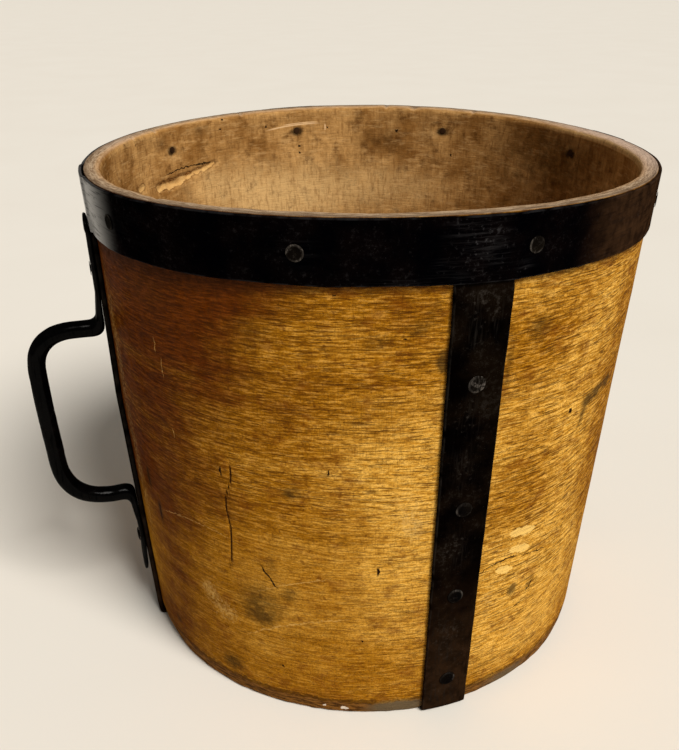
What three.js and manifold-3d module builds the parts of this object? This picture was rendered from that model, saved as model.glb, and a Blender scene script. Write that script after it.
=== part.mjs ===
import * as THREE from "three";
import { mergeVertices } from "three/addons/utils/BufferGeometryUtils.js";
import Module from "manifold-3d";

// Bentwood grain measure of 15 litres, bound with iron: one bent board closed by a scarf, a round
// base board wedged in its taper, a rim band, four straps that turn under the base, and a forged
// handle, all held by rivets. Millimetres, +Z up. The origin is the middle of the underside, the
// handle points to -X and the strap over the scarf faces -Y.

// Wooden vessel
const HEIGHT = 276;
const RIM_RADIUS = 152.5;
const BASE_RADIUS = 134.75;
const WALL = 8.5;
const RIM_INNER_ROUND = 3.2;
const RIM_OUTER_BEVEL = 0.8;
const BOTTOM_EDGE_ROUND = 1.5;
const BASE_BOARD = 15;
const SCARF_LENGTH = 22;
const RIM_WARP = 1.8;
const WARP_HIGH_ANGLE = 71;
const RIM_PRESS = 4;
const PRESS_ANGLE = 172;
const PRESS_SPREAD = 28;
const PRESS_FOOT = 150;

// Iron band and straps
const BAND_HEIGHT = 29;
const BAND_THICKNESS = 1.5;
const BAND_DROP = 0.6;
const BAND_RAMP = 3;
const BAND_LAP = 42;
const BAND_LAP_RAMP = 8;
const STRAP_THICKNESS = 2;
const STRAP_TONGUE = 0.6;
const TONGUE_TAPER = 10;
const STRAP_TOP_WIDTH = 28;
const STRAP_BOTTOM_WIDTH = 25;
const STRAP_TOP_DROP = 3;
const STRAP_BEND = 1;
const STRAP_FOOT = 36;
const STRAP_ANGLES = { front: -90, handle_side: 180, opposite: 0, rear: 90 };

// Handle
const HANDLE_REACH = 41;
const HANDLE_DROP = 55.7;
const HANDLE_SPAN = 105.5;
const HANDLE_UPPER_CORNER = 21;
const HANDLE_LOWER_CORNER = 29;
const ROOT_CREASE = 4;
const ROOT_HEEL = 7;
const ROOT_SHOULDER = 14;
const ROOT_SWELL = 1.8;
const BAR_RADIUS = 5;
const LEAF_WIDTH = 20;
const LEAF_THICKNESS = 2.4;
const LEAF_DRAW_OUT = 20;
const LEAF_TIP_ROUND = 8;
const LEAF_TIP_SHARE = 0.4;
const LEAF_SQUARENESS = 5;
const LEAF_BEND = 3;
const LEAF_UPPER_LAP = 6.6;
const LEAF_LOWER_LENGTH = 54;
const LEAF_LIFT_LENGTH = 19;
const LEAF_LIFT = 1.2;

// Rivets and nails
const SHANK_RADIUS = 2;
const STRAP_HEAD_RADIUS = 4.5;
const BAND_HEAD_RADIUS = 4;
const STRAP_HEAD_HEIGHT = 1.7;
const BAND_HEAD_HEIGHT = 0.7;
const CLENCH_RADIUS = 3;
const CLENCH_HEIGHT = 0.6;
const STRAP_RIVET_HEIGHTS = [23, 80, 133, 200];
const BAND_RIVET_ANGLES = [-159, -119.5, -81.7, -38, 8.3, 48.8, 90, 129.4];
const RIVETED_STRAPS = ["front", "opposite", "rear"];
const UPPER_RIVET_DROP = 22;
const LOWER_RIVET_DROP = 31;
const NAIL_HEAD_RADIUS = 3.4;
const NAIL_RADIUS = 1.4;
const NAIL_LENGTH = 13;
const NAIL_POINT = 4;
const NAIL_SINK = 1.6;
const NAIL_RECESS = 0.2;
const NAIL_FROM_FOOT_END = 9;

// Clearance between neighbours, and fineness of the round forms
const GAP = 0.3;
const GIRTH_STEPS = 72;
const BAR_STEPS = 12;
const RIVET_STEPS = 10;
const EDGE_STEPS = 3;
const BEND_STEPS = 4;
const STRAP_STEPS = 6;
const FINE_STEP = 3;
const COARSE_STEP = 12;
const OVERSHOOT = 2;

// Levels and depths that follow from those sizes
const TAPER = (RIM_RADIUS - BASE_RADIUS) / HEIGHT;
const LEAN = Math.atan(TAPER);
const BAND_TOP = HEIGHT - BAND_DROP;
const BAND_BOTTOM = BAND_TOP - BAND_HEIGHT;
const BAND_STEP = GAP + BAND_THICKNESS;
const STRAP_STEP = GAP + STRAP_THICKNESS;
const TONGUE_STEP = GAP + STRAP_TONGUE;
const LEAF_ON_STRAP = STRAP_STEP + GAP;
const LEAF_ON_BAND = TONGUE_STEP + BAND_STEP + GAP;
const HANDLE_TOP = BAND_BOTTOM - HANDLE_DROP;
const HANDLE_BOTTOM = HANDLE_TOP - HANDLE_SPAN;
const UPPER_TIP = BAND_BOTTOM + LEAF_UPPER_LAP;
const LOWER_TIP = HANDLE_BOTTOM - LEAF_LOWER_LENGTH;
const PRESS_HEAD = BAND_BOTTOM - GAP;
const NAIL_PLACE = BASE_RADIUS - STRAP_FOOT + NAIL_FROM_FOOT_END;

const UP = new THREE.Vector3(0, 0, 1);
const { clamp, degToRad, radToDeg, euclideanModulo, lerp } = THREE.MathUtils;
const wasm = await Module();
wasm.setup();

// Radius of the wood's outside at a height.
const woodRadius = (z) => BASE_RADIUS + TAPER * z;

// Angle in radians of a length along the girth at a height.
const girthAngle = (length, z) => length / woodRadius(z);

// Point at an angle in radians, a radius and a height.
function pointAround(angle, radius, z) {
  return new THREE.Vector3(radius * Math.cos(angle), radius * Math.sin(angle), z);
}

// Degrees from one angle to another, between -180 and 180.
const turnBetween = (from, to) => euclideanModulo(to - from + 180, 360) - 180;

// Point moved as the rim has gone out of true: two sides stand high and the two between them low, and
// the upper wall is pressed in beside the handle.
function outOfTrue({ x, y, z }) {
  const angle = Math.atan2(y, x);
  const rise = (RIM_WARP * Math.cos(2 * (angle - degToRad(WARP_HIGH_ANGLE))) * z) / HEIGHT;
  const aside = turnBetween(PRESS_ANGLE, radToDeg(angle)) / PRESS_SPREAD;
  const press = RIM_PRESS * clamp((z - PRESS_FOOT) / (PRESS_HEAD - PRESS_FOOT), 0, 1);
  return pointAround(angle, Math.hypot(x, y) - press * Math.exp(-(aside ** 2)), z + rise);
}

// Closed solid from a geometry, its shared vertices merged and its empty triangles dropped.
function solid(geometry) {
  const bare = new THREE.BufferGeometry();
  bare.setAttribute("position", geometry.getAttribute("position"));
  bare.setIndex(geometry.index);
  const merged = mergeVertices(bare, 1e-3);
  const triangles = [];
  for (let i = 0; i < merged.index.count; i += 3) {
    const corners = [0, 1, 2].map((k) => merged.index.getX(i + k));
    if (new Set(corners).size === 3) triangles.push(...corners);
  }
  const vertProperties = new Float32Array(merged.getAttribute("position").array);
  const triVerts = new Uint32Array(triangles);
  return new wasm.Manifold(new wasm.Mesh({ numProp: 3, vertProperties, triVerts }));
}

// All of the given geometries as one solid, for cutting.
function joined(geometries) {
  return geometries.map(solid).reduce((whole, next) => whole.add(next));
}

// Geometry of a finished solid, gone out of true with the rim.
function settled(body) {
  const mesh = body.getMesh();
  const geometry = new THREE.BufferGeometry();
  geometry.setAttribute("position", new THREE.BufferAttribute(mesh.vertProperties, mesh.numProp));
  geometry.setIndex(new THREE.BufferAttribute(mesh.triVerts, 1));
  const position = geometry.getAttribute("position");
  const point = new THREE.Vector3();
  for (let i = 0; i < position.count; i++) {
    point.copy(outOfTrue(point.fromBufferAttribute(position, i)));
    position.setXYZ(i, point.x, point.y, point.z);
  }
  geometry.computeVertexNormals();
  return geometry;
}

// Skin over a row of sections, each a ring of as many points, closed by a fan at either end.
function loft(sections) {
  const count = sections[0].length;
  const points = sections.flat();
  const faces = [];
  for (let row = 0; row + 1 < sections.length; row++) {
    for (let i = 0; i < count; i++) {
      const a = row * count + i;
      const b = row * count + ((i + 1) % count);
      faces.push(a, b, b + count, a, b + count, a + count);
    }
  }
  [sections[0], sections.at(-1)].forEach((ring, end) => {
    const middle = new THREE.Vector3();
    ring.forEach((point) => middle.addScaledVector(point, 1 / count));
    points.push(middle);
    const start = end * (sections.length - 1) * count;
    for (let i = 0; i < count; i++) {
      const pair = [start + i, start + ((i + 1) % count)];
      faces.push(points.length - 1, ...(end ? pair : pair.reverse()));
    }
  });
  return new THREE.BufferGeometry().setFromPoints(points).setIndex(faces);
}

// Body of revolution round +Z from an outline of radius and height.
function revolved(outline, steps) {
  return new THREE.LatheGeometry(outline.getPoints(EDGE_STEPS), steps).rotateX(Math.PI / 2);
}

// Outline through a row of radius and height pairs.
function outlineThrough(pairs) {
  return new THREE.Path(pairs.map(([radius, height]) => new THREE.Vector2(radius, height)));
}

// Placing of a fastener: its +Z leaves the wood squarely, at an angle in degrees and a height.
function seatMatrix(angle, z) {
  const out = pointAround(degToRad(angle), Math.cos(LEAN), -Math.sin(LEAN));
  const along = pointAround(degToRad(angle + 90), 1, 0);
  const upwards = new THREE.Vector3().crossVectors(out, along);
  const matrix = new THREE.Matrix4().makeBasis(along, upwards, out);
  return matrix.setPosition(pointAround(degToRad(angle), woodRadius(z), z));
}

// Wall: the board's section turned once round, with a bottom edge worn round, a rim rounded on the
// inside by use, and straight faces between them, which break where the wall is pressed in.
function wallOutline() {
  const outline = new THREE.Path();
  const innerRim = RIM_RADIUS - WALL;
  const roundFoot = HEIGHT - RIM_INNER_ROUND;
  outline.moveTo(BASE_RADIUS - WALL, 0);
  outline.lineTo(BASE_RADIUS - BOTTOM_EDGE_ROUND, 0);
  outline.quadraticCurveTo(BASE_RADIUS, 0, woodRadius(BOTTOM_EDGE_ROUND), BOTTOM_EDGE_ROUND);
  for (const z of [PRESS_FOOT, PRESS_HEAD, HEIGHT - RIM_OUTER_BEVEL]) outline.lineTo(woodRadius(z), z);
  outline.lineTo(RIM_RADIUS - RIM_OUTER_BEVEL, HEIGHT);
  outline.lineTo(innerRim + RIM_INNER_ROUND, HEIGHT);
  outline.quadraticCurveTo(innerRim, HEIGHT, woodRadius(roundFoot) - WALL, roundFoot);
  for (const z of [PRESS_HEAD, PRESS_FOOT]) outline.lineTo(woodRadius(z) - WALL, z);
  outline.closePath();
  return outline;
}

// Scarf: the slanting slit between the board's ends, which starts on the outside at one edge of the
// front strap and comes out on the inside at the other.
function scarfSlit() {
  const middle = degToRad(STRAP_ANGLES.front);
  const slope = SCARF_LENGTH / WALL;
  const opening = GAP * Math.hypot(1, slope);
  const reach = WALL / 2 + OVERSHOOT;
  const sections = [-OVERSHOOT, HEIGHT + OVERSHOOT].map((z) => {
    const corner = (depth, side) => {
      const along = depth * slope + (side * opening) / 2;
      return pointAround(middle + girthAngle(along, z), woodRadius(z) - WALL / 2 + depth, z);
    };
    return [corner(-reach, -1), corner(reach, -1), corner(reach, 1), corner(-reach, 1)];
  });
  return loft(sections);
}

// Base board: its edge follows the wall's taper, so that it wedges when it is dropped in.
function baseOutline() {
  const edge = (z) => woodRadius(z) - WALL - GAP;
  return outlineThrough([
    [0, 0],
    [edge(0), 0],
    [edge(BASE_BOARD), BASE_BOARD],
    [0, BASE_BOARD],
  ]);
}

// Strap: a thin tongue under the band, then full thickness down the wall, round the bottom edge and
// inwards under the base. Each station is a place on its inner face, with the strap's width and
// thickness there and how far that face has tipped over.
function strapStations(spread) {
  const top = HEIGHT - STRAP_TOP_DROP;
  const bendTop = STRAP_THICKNESS + STRAP_BEND;
  const bendCentre = woodRadius(bendTop) + GAP - STRAP_BEND;
  const levels = [
    [top, STRAP_TONGUE],
    [PRESS_HEAD, STRAP_TONGUE],
    [PRESS_HEAD - TONGUE_TAPER, STRAP_THICKNESS],
    [PRESS_FOOT, STRAP_THICKNESS],
  ];
  const stations = levels.map(([z, thickness]) => {
    const width = lerp(STRAP_BOTTOM_WIDTH, STRAP_TOP_WIDTH, (z - bendTop) / (top - bendTop));
    return { radius: woodRadius(z) + GAP, z, tip: 0, width, thickness };
  });
  const below = { width: STRAP_BOTTOM_WIDTH, thickness: STRAP_THICKNESS };
  for (let i = 0; i <= BEND_STEPS; i++) {
    const tip = ((Math.PI / 2) * i) / BEND_STEPS;
    const radius = bendCentre + STRAP_BEND * Math.cos(tip);
    const z = bendTop - STRAP_BEND * Math.sin(tip);
    stations.push({ radius, z, tip, ...below });
  }
  const footEnd = BASE_RADIUS - STRAP_FOOT - spread;
  stations.push({ radius: footEnd, z: STRAP_THICKNESS, tip: Math.PI / 2, ...below });
  return stations;
}

// Bowed flat section swept through the stations, from a depth at the strap's inner face to its outer
// face and a further depth beyond it.
function strapSweep(angle, stations, inside, beyond, spread) {
  const shares = Array.from({ length: STRAP_STEPS + 1 }, (_, i) => i / STRAP_STEPS - 0.5);
  const sections = stations.map(({ radius, z, tip, width, thickness }) => {
    const bow = woodRadius(z);
    const corner = (share, depth) => {
      const swing = (share * (width + 2 * spread)) / bow;
      const point = pointAround(swing, bow, z - depth * Math.sin(tip));
      point.x += radius + depth * Math.cos(tip) - bow;
      return point.applyAxisAngle(UP, degToRad(angle));
    };
    const outer = shares.map((share) => corner(share, thickness + beyond));
    const inner = shares.map((share) => corner(share, inside));
    return [...outer.reverse(), ...inner];
  });
  return loft(sections);
}

function strap(angle) {
  return strapSweep(angle, strapStations(0), 0, 0, 0);
}

// Housing cut in wall and base board, so that a strap's bend and foot lie flush underneath.
function footHousing(angle) {
  const bendAndFoot = strapStations(GAP).slice(-BEND_STEPS - 2);
  return strapSweep(angle, bendAndFoot, -GAP, OVERSHOOT, GAP);
}

// Band: turns in degrees along its own length, from its inner end to its outer end, which laps over
// the inner one on the rear strap.
const bandRamp = radToDeg(girthAngle(BAND_RAMP, BAND_BOTTOM));
const bandLapRamp = radToDeg(girthAngle(BAND_LAP_RAMP, BAND_BOTTOM));
const bandHalfLap = radToDeg(girthAngle(BAND_LAP / 2, BAND_BOTTOM));
const strapHalf = radToDeg(girthAngle(STRAP_TOP_WIDTH / 2 + GAP, BAND_BOTTOM));
const bandStart = STRAP_ANGLES.rear - bandHalfLap;
const bandEnd = STRAP_ANGLES.rear + 360 + bandHalfLap;
const lapRise = bandStart + 360 - bandRamp - bandLapRamp;

// Distance of the band's inner face from the wood: it lifts over each tongue and again at the lap.
function bandOffset(turn) {
  let offset = GAP;
  for (const angle of Object.values(STRAP_ANGLES)) {
    const away = Math.abs(turnBetween(angle, turn));
    offset += TONGUE_STEP * (1 - clamp((away - strapHalf) / bandRamp, 0, 1));
  }
  return offset + BAND_STEP * clamp((turn - lapRise) / bandLapRamp, 0, 1);
}

// Distance of the band's outermost face from the wood at an angle.
function bandOutside(angle) {
  const first = bandStart + euclideanModulo(angle - bandStart, 360);
  return bandOffset(first + 360 <= bandEnd ? first + 360 : first) + BAND_THICKNESS;
}

function band() {
  const even = (360 + 2 * bandHalfLap) / GIRTH_STEPS;
  const turns = Array.from({ length: GIRTH_STEPS + 1 }, (_, i) => bandStart + i * even);
  for (const angle of Object.values(STRAP_ANGLES)) {
    for (const edge of [-strapHalf - bandRamp, -strapHalf, strapHalf, strapHalf + bandRamp]) {
      turns.push(angle + edge, angle + edge + 360);
    }
  }
  turns.push(lapRise, lapRise + bandLapRamp);
  const inReach = turns.filter((turn) => turn >= bandStart && turn <= bandEnd);
  const sections = inReach
    .sort((a, b) => a - b)
    .map((turn) => {
      const inside = bandOffset(turn);
      const outside = inside + BAND_THICKNESS;
      const corner = (offset, z) => pointAround(degToRad(turn), woodRadius(z) + offset, z);
      return [
        corner(inside, BAND_BOTTOM),
        corner(inside, BAND_TOP),
        corner(outside, BAND_TOP),
        corner(outside, BAND_BOTTOM),
      ];
    });
  return loft(sections);
}

// Handle: one of the two rails between which the forging runs, through its corners, each with the
// radius of its bend. The outer rail, on side 1, follows the leaves' faces and the grip's outside, and
// the inner rail, on side -1, their backs and the grip's inside.
function handleRail(side) {
  const face = side > 0 ? LEAF_THICKNESS : 0;
  const [swell, root] = side > 0 ? [ROOT_SWELL, ROOT_CREASE] : [0, ROOT_HEEL];
  const bar = side * BAR_RADIUS;
  const shoulder = BAR_RADIUS + ROOT_SHOULDER;
  const corners = [
    [LEAF_ON_BAND + face, UPPER_TIP, 0],
    [LEAF_ON_BAND + face, PRESS_HEAD, LEAF_BEND],
    [LEAF_ON_STRAP + face, HANDLE_TOP + shoulder, LEAF_BEND],
    [LEAF_ON_STRAP + face + swell, HANDLE_TOP + bar, root],
    [HANDLE_REACH + bar, HANDLE_TOP + bar, HANDLE_UPPER_CORNER + bar],
    [HANDLE_REACH + bar, HANDLE_BOTTOM - bar, HANDLE_LOWER_CORNER + bar],
    [LEAF_ON_STRAP + face + swell, HANDLE_BOTTOM - bar, root],
    [LEAF_ON_STRAP + face, HANDLE_BOTTOM - shoulder, LEAF_BEND],
    [LEAF_ON_STRAP + face, LOWER_TIP + LEAF_LIFT_LENGTH, LEAF_BEND],
    [LEAF_ON_STRAP + face + LEAF_LIFT, LOWER_TIP, 0],
  ];
  const places = corners.map(([offset, z]) => new THREE.Vector3(woodRadius(z) + offset, 0, z));
  const line = new THREE.CurvePath();
  let from = places[0];
  for (let i = 1; i + 1 < places.length; i++) {
    const back = places[i - 1].clone().sub(places[i]).normalize();
    const onward = places[i + 1].clone().sub(places[i]).normalize();
    const reach = corners[i][2] / Math.tan(back.angleTo(onward) / 2);
    const start = places[i].clone().addScaledVector(back, reach);
    const end = places[i].clone().addScaledVector(onward, reach);
    line.add(new THREE.LineCurve3(from, start));
    line.add(new THREE.QuadraticBezierCurve3(start, places[i], end));
    from = end;
  }
  line.add(new THREE.LineCurve3(from, places.at(-1)));
  return line;
}

// Places along a pair of rails, each the number of a curve and a share of it, close together in the
// bends and at the tips.
function handleStations(outer, inner) {
  const stations = [[0, 0]];
  outer.curves.forEach((curve, i) => {
    const longer = Math.max(curve.getLength(), inner.curves[i].getLength());
    const straight = curve.isLineCurve3 && i > 0 && i + 1 < outer.curves.length;
    const count = Math.ceil(longer / (straight ? COARSE_STEP : FINE_STEP));
    for (let k = 1; k <= count; k++) stations.push([i, k / count]);
  });
  return stations;
}

// Forging: a round bar between its roots, drawn out beyond them to wide flat leaves with round tips,
// which are bowed to the wall.
function handle() {
  const [outer, inner] = [handleRail(1), handleRail(-1)];
  const sections = handleStations(outer, inner).map(([i, share]) => {
    const face = outer.curves[i].getPoint(share);
    const middle = inner.curves[i].getPoint(share).lerp(face, 0.5);
    const outward = face.sub(middle);
    const beyondRoot = Math.max(middle.z - HANDLE_TOP, HANDLE_BOTTOM - middle.z);
    const flat = clamp(beyondRoot / LEAF_DRAW_OUT, 0, 1);
    const fromTip = clamp(Math.min(UPPER_TIP - middle.z, middle.z - LOWER_TIP) / LEAF_TIP_ROUND, 0, 1);
    const round = lerp(LEAF_TIP_SHARE, 1, Math.sqrt(fromTip * (2 - fromTip)));
    const halfWidth = lerp(BAR_RADIUS, LEAF_WIDTH / 2, flat) * round;
    const power = 2 / lerp(2, LEAF_SQUARENESS, flat);
    const squared = (value) => Math.sign(value) * Math.abs(value) ** power;
    return Array.from({ length: BAR_STEPS }, (_, k) => {
      const turn = ((k + 0.5) * 2 * Math.PI) / BAR_STEPS;
      const across = halfWidth * squared(Math.cos(turn));
      const point = middle.clone().addScaledVector(outward, round * squared(Math.sin(turn)));
      point.x -= (flat * across ** 2) / (2 * woodRadius(point.z));
      point.y = across;
      return point.applyAxisAngle(UP, degToRad(STRAP_ANGLES.handle_side));
    });
  });
  return loft(sections);
}

// Rivets: each has its place on the wood, the depth of iron under its head, and its head's radius and
// height.
const rivets = BAND_RIVET_ANGLES.map((angle, i) => ({
  name: `band_rivet_${i + 1}`,
  angle,
  z: (BAND_BOTTOM + BAND_TOP) / 2,
  iron: bandOutside(angle),
  head: BAND_HEAD_RADIUS,
  height: BAND_HEAD_HEIGHT,
}));
for (const name of RIVETED_STRAPS) {
  STRAP_RIVET_HEIGHTS.forEach((z, i) => {
    rivets.push({
      name: `strap_${name}_rivet_${i + 1}`,
      angle: STRAP_ANGLES[name],
      z,
      iron: STRAP_STEP,
      head: STRAP_HEAD_RADIUS,
      height: STRAP_HEAD_HEIGHT,
    });
  });
}
rivets.push(
  {
    name: "handle_upper_rivet",
    angle: STRAP_ANGLES.handle_side,
    z: BAND_BOTTOM - UPPER_RIVET_DROP,
    iron: LEAF_ON_BAND + LEAF_THICKNESS,
    head: BAND_HEAD_RADIUS,
    height: BAND_HEAD_HEIGHT,
  },
  {
    name: "handle_lower_rivet",
    angle: STRAP_ANGLES.handle_side,
    z: HANDLE_BOTTOM - LOWER_RIVET_DROP,
    iron: LEAF_ON_STRAP + LEAF_THICKNESS,
    head: STRAP_HEAD_RADIUS,
    height: STRAP_HEAD_HEIGHT,
  },
);

// Rivet: clenched end inside the wall, shank, and a low domed head on the iron.
function rivet({ angle, z, iron, head, height }) {
  const seat = iron + GAP;
  const clench = -WALL - GAP;
  const outline = new THREE.Path();
  outline.moveTo(0, clench - CLENCH_HEIGHT);
  outline.quadraticCurveTo(CLENCH_RADIUS, clench - CLENCH_HEIGHT, CLENCH_RADIUS, clench);
  outline.lineTo(SHANK_RADIUS, clench);
  outline.lineTo(SHANK_RADIUS, seat);
  outline.lineTo(head, seat);
  outline.quadraticCurveTo(head, seat + height, 0, seat + height);
  return revolved(outline, RIVET_STEPS).applyMatrix4(seatMatrix(angle, z));
}

// Bore for a rivet, through the wall and all the iron on it.
function rivetBore({ angle, z, iron }) {
  const inside = -WALL - OVERSHOOT;
  const length = iron + OVERSHOOT - inside;
  const bore = new THREE.CylinderGeometry(SHANK_RADIUS + GAP, SHANK_RADIUS + GAP, length, RIVET_STEPS);
  bore.rotateX(Math.PI / 2).translate(0, 0, inside + length / 2);
  return bore.applyMatrix4(seatMatrix(angle, z));
}

// Nail: a countersunk head just inside the foot's underside, and a pointed shank in the base board.
function nail() {
  const neck = NAIL_RECESS + NAIL_SINK;
  return revolved(
    outlineThrough([
      [0, NAIL_RECESS],
      [NAIL_HEAD_RADIUS, NAIL_RECESS],
      [NAIL_RADIUS, neck],
      [NAIL_RADIUS, NAIL_LENGTH - NAIL_POINT],
      [0, NAIL_LENGTH],
    ]),
    RIVET_STEPS,
  );
}

// Countersink and hole for a nail, in a foot and in the base board above it.
function nailHole(angle) {
  const neck = NAIL_RECESS + NAIL_SINK;
  const outline = outlineThrough([
    [0, -OVERSHOOT],
    [NAIL_HEAD_RADIUS + GAP, -OVERSHOOT],
    [NAIL_HEAD_RADIUS + GAP, NAIL_RECESS],
    [NAIL_RADIUS + GAP, neck],
    [NAIL_RADIUS + GAP, NAIL_LENGTH],
    [0, NAIL_LENGTH + GAP],
  ]);
  const place = pointAround(degToRad(angle), NAIL_PLACE, 0);
  return revolved(outline, RIVET_STEPS).translate(place.x, place.y, place.z);
}

// Finishes
const oiledBeech = { color: 0xa86f2c, roughness: 0.5, metalness: 0 };
const bareBeech = { color: 0x8d6c48, roughness: 0.75, metalness: 0 };
const blackedIron = { color: 0x1a1815, roughness: 0.45, metalness: 0.7 };
const wornIron = { color: 0x3a3733, roughness: 0.5, metalness: 0.7 };

function piece(name, geometry, finish) {
  const mesh = new THREE.Mesh(geometry, new THREE.MeshStandardMaterial(finish));
  mesh.name = name;
  return mesh;
}

// Assembly
const angles = Object.values(STRAP_ANGLES);
const bores = joined(rivets.map(rivetBore));
const housings = joined(angles.map(footHousing));
const nailHoles = joined(angles.map(nailHole));

const vessel = new THREE.Group();
const wall = solid(revolved(wallOutline(), GIRTH_STEPS)).subtract(solid(scarfSlit()));
vessel.add(piece("bentwood_wall", settled(wall.subtract(housings).subtract(bores)), oiledBeech));
const base = solid(revolved(baseOutline(), GIRTH_STEPS));
vessel.add(piece("base_board", settled(base.subtract(housings).subtract(nailHoles)), bareBeech));

const ironwork = new THREE.Group();
ironwork.add(piece("rim_band", settled(solid(band()).subtract(bores)), blackedIron));
for (const [name, angle] of Object.entries(STRAP_ANGLES)) {
  const body = solid(strap(angle)).subtract(bores).subtract(nailHoles);
  ironwork.add(piece(`strap_${name}`, settled(body), blackedIron));
}
ironwork.add(piece("handle", settled(solid(handle()).subtract(bores)), blackedIron));

const fasteners = new THREE.Group();
for (const item of rivets) {
  fasteners.add(piece(item.name, settled(solid(rivet(item))), wornIron));
}
for (const [name, angle] of Object.entries(STRAP_ANGLES)) {
  const mesh = piece(`strap_${name}_foot_nail`, nail(), wornIron);
  mesh.position.copy(pointAround(degToRad(angle), NAIL_PLACE, 0));
  fasteners.add(mesh);
}

const grainMeasure = new THREE.Group();
grainMeasure.add(vessel, ironwork, fasteners);

export default grainMeasure;
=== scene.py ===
import math

import bpy
import numpy as np
from mathutils import Matrix, Vector


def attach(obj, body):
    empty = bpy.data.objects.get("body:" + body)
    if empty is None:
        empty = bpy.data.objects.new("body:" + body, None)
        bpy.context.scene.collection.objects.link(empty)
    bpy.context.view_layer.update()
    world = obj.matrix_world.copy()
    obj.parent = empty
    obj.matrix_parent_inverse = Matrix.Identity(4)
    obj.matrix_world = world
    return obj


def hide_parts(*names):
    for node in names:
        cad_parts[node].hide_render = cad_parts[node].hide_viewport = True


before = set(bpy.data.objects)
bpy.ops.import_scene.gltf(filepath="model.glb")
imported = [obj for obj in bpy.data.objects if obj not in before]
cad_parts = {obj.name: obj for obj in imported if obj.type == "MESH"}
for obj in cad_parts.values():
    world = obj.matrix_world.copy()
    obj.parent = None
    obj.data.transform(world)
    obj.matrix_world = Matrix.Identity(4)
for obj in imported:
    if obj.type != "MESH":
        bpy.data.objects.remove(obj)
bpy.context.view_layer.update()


# Bentwood wall: one thin beech board, steamed, bent round and closed by a long scarf under the front
# strap. It is oiled and handled to a warm gloss outside, rubbed grey along the rim and the bottom
# edge, and dry and scraped inside.

MM = 0.001
HEIGHT = 276.0
RIM_RADIUS = 152.5
BASE_RADIUS = 134.75
WALL = 8.5
TAPER = (RIM_RADIUS - BASE_RADIUS) / HEIGHT
MEAN_RADIUS = (RIM_RADIUS + BASE_RADIUS) / 2
RIM_WARP = 1.8
WARP_HIGH_ANGLE = 71.0
RIM_PRESS = 4.0
PRESS_ANGLE = 172.0
PRESS_SPREAD = 28.0
PRESS_FOOT = 150.0
GAP = 0.3
SEAT = 0.03
BAND_TOP = HEIGHT - 0.6
BAND_BOTTOM = BAND_TOP - 29.0
PRESS_HEAD = BAND_BOTTOM - GAP
BAND_RIVET_ANGLES = [-159.0, -119.5, -81.7, -38.0, 8.3, 48.8, 90.0, 129.4]
BAND_RIVET_HEIGHT = (BAND_BOTTOM + BAND_TOP) / 2
STRAP_ANGLES = {"front": -90.0, "handle_side": 180.0, "opposite": 0.0, "rear": 90.0}
STRAP_TOP_WIDTH = 28.0
STRAP_BOTTOM_WIDTH = 25.0
STRAP_THICKNESS = 2.0
STRAP_RIVET_HEIGHTS = [23.0, 80.0, 133.0, 200.0]
RIVETED_STRAPS = ("front", "opposite", "rear")


def ease(value, low, high):
    """Smooth step: the share t of the way from low to high, held in 0 to 1, as 3t^2 - 2t^3."""
    share = np.clip((np.asarray(value, float) - low) / (high - low), 0, 1)
    return share * share * (3 - 2 * share)


def mottle(around, along, cells, seed):
    """Lattice noise from -1 to 1: seeded values at the corners of a grid of cells, blended by ease()
    between the four corners round each point. Both directions wrap at 1."""
    lattice = np.random.default_rng(seed).uniform(-1, 1, cells)
    u, v = np.broadcast_arrays(np.asarray(around) * cells[0], np.asarray(along) * cells[1])
    i, j = np.floor(u).astype(int), np.floor(v).astype(int)
    s, t = ease(u - i, 0, 1), ease(v - j, 0, 1)
    near, far = i % cells[0], (i + 1) % cells[0]
    low, high = j % cells[1], (j + 1) % cells[1]
    lower = lattice[near, low] * (1 - s) + lattice[far, low] * s
    upper = lattice[near, high] * (1 - s) + lattice[far, high] * s
    return lower * (1 - t) + upper * t


def wood_radius(z):
    """Radius of the wood's outside: the base's radius and the taper times the height."""
    return BASE_RADIUS + TAPER * np.asarray(z, float)


def away(turn, angle):
    """Signed angle in degrees from a given angle to each turn, between -180 and 180."""
    return (np.asarray(turn, float) - angle + 180) % 360 - 180


def girth(degrees, radius):
    """Length along the girth of an angle in degrees at a radius."""
    return np.radians(degrees) * radius


def round_share(turn):
    """Share of the full turn at an angle in degrees, counted from the handle's side."""
    return (turn + 180) / 360


def around(turn, radius, z):
    """Points at angles in degrees, radii and heights: radius times cosine and sine, and the height."""
    turn, radius, z = np.broadcast_arrays(np.radians(turn), radius, z)
    return np.stack([radius * np.cos(turn), radius * np.sin(turn), z], -1)


def settled(points):
    """Points moved as the rim has gone out of true: each rises by the warp times the cosine of twice
    its angle from the high side, times its share of the full height, and its radius loses the press
    beside the handle, which falls off as a bell round the girth and as a straight ramp down the wall."""
    x, y, z = np.moveaxis(points, -1, 0)
    turn = np.degrees(np.arctan2(y, x))
    rise = RIM_WARP * np.cos(np.radians(2 * (turn - WARP_HIGH_ANGLE))) * z / HEIGHT
    ramp = np.clip((z - PRESS_FOOT) / (PRESS_HEAD - PRESS_FOOT), 0, 1)
    press = RIM_PRESS * ramp * np.exp(-(away(turn, PRESS_ANGLE) / PRESS_SPREAD) ** 2)
    share = 1 - press / np.maximum(np.hypot(x, y), 1)
    return np.stack([x * share, y * share, z + rise], -1)


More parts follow.
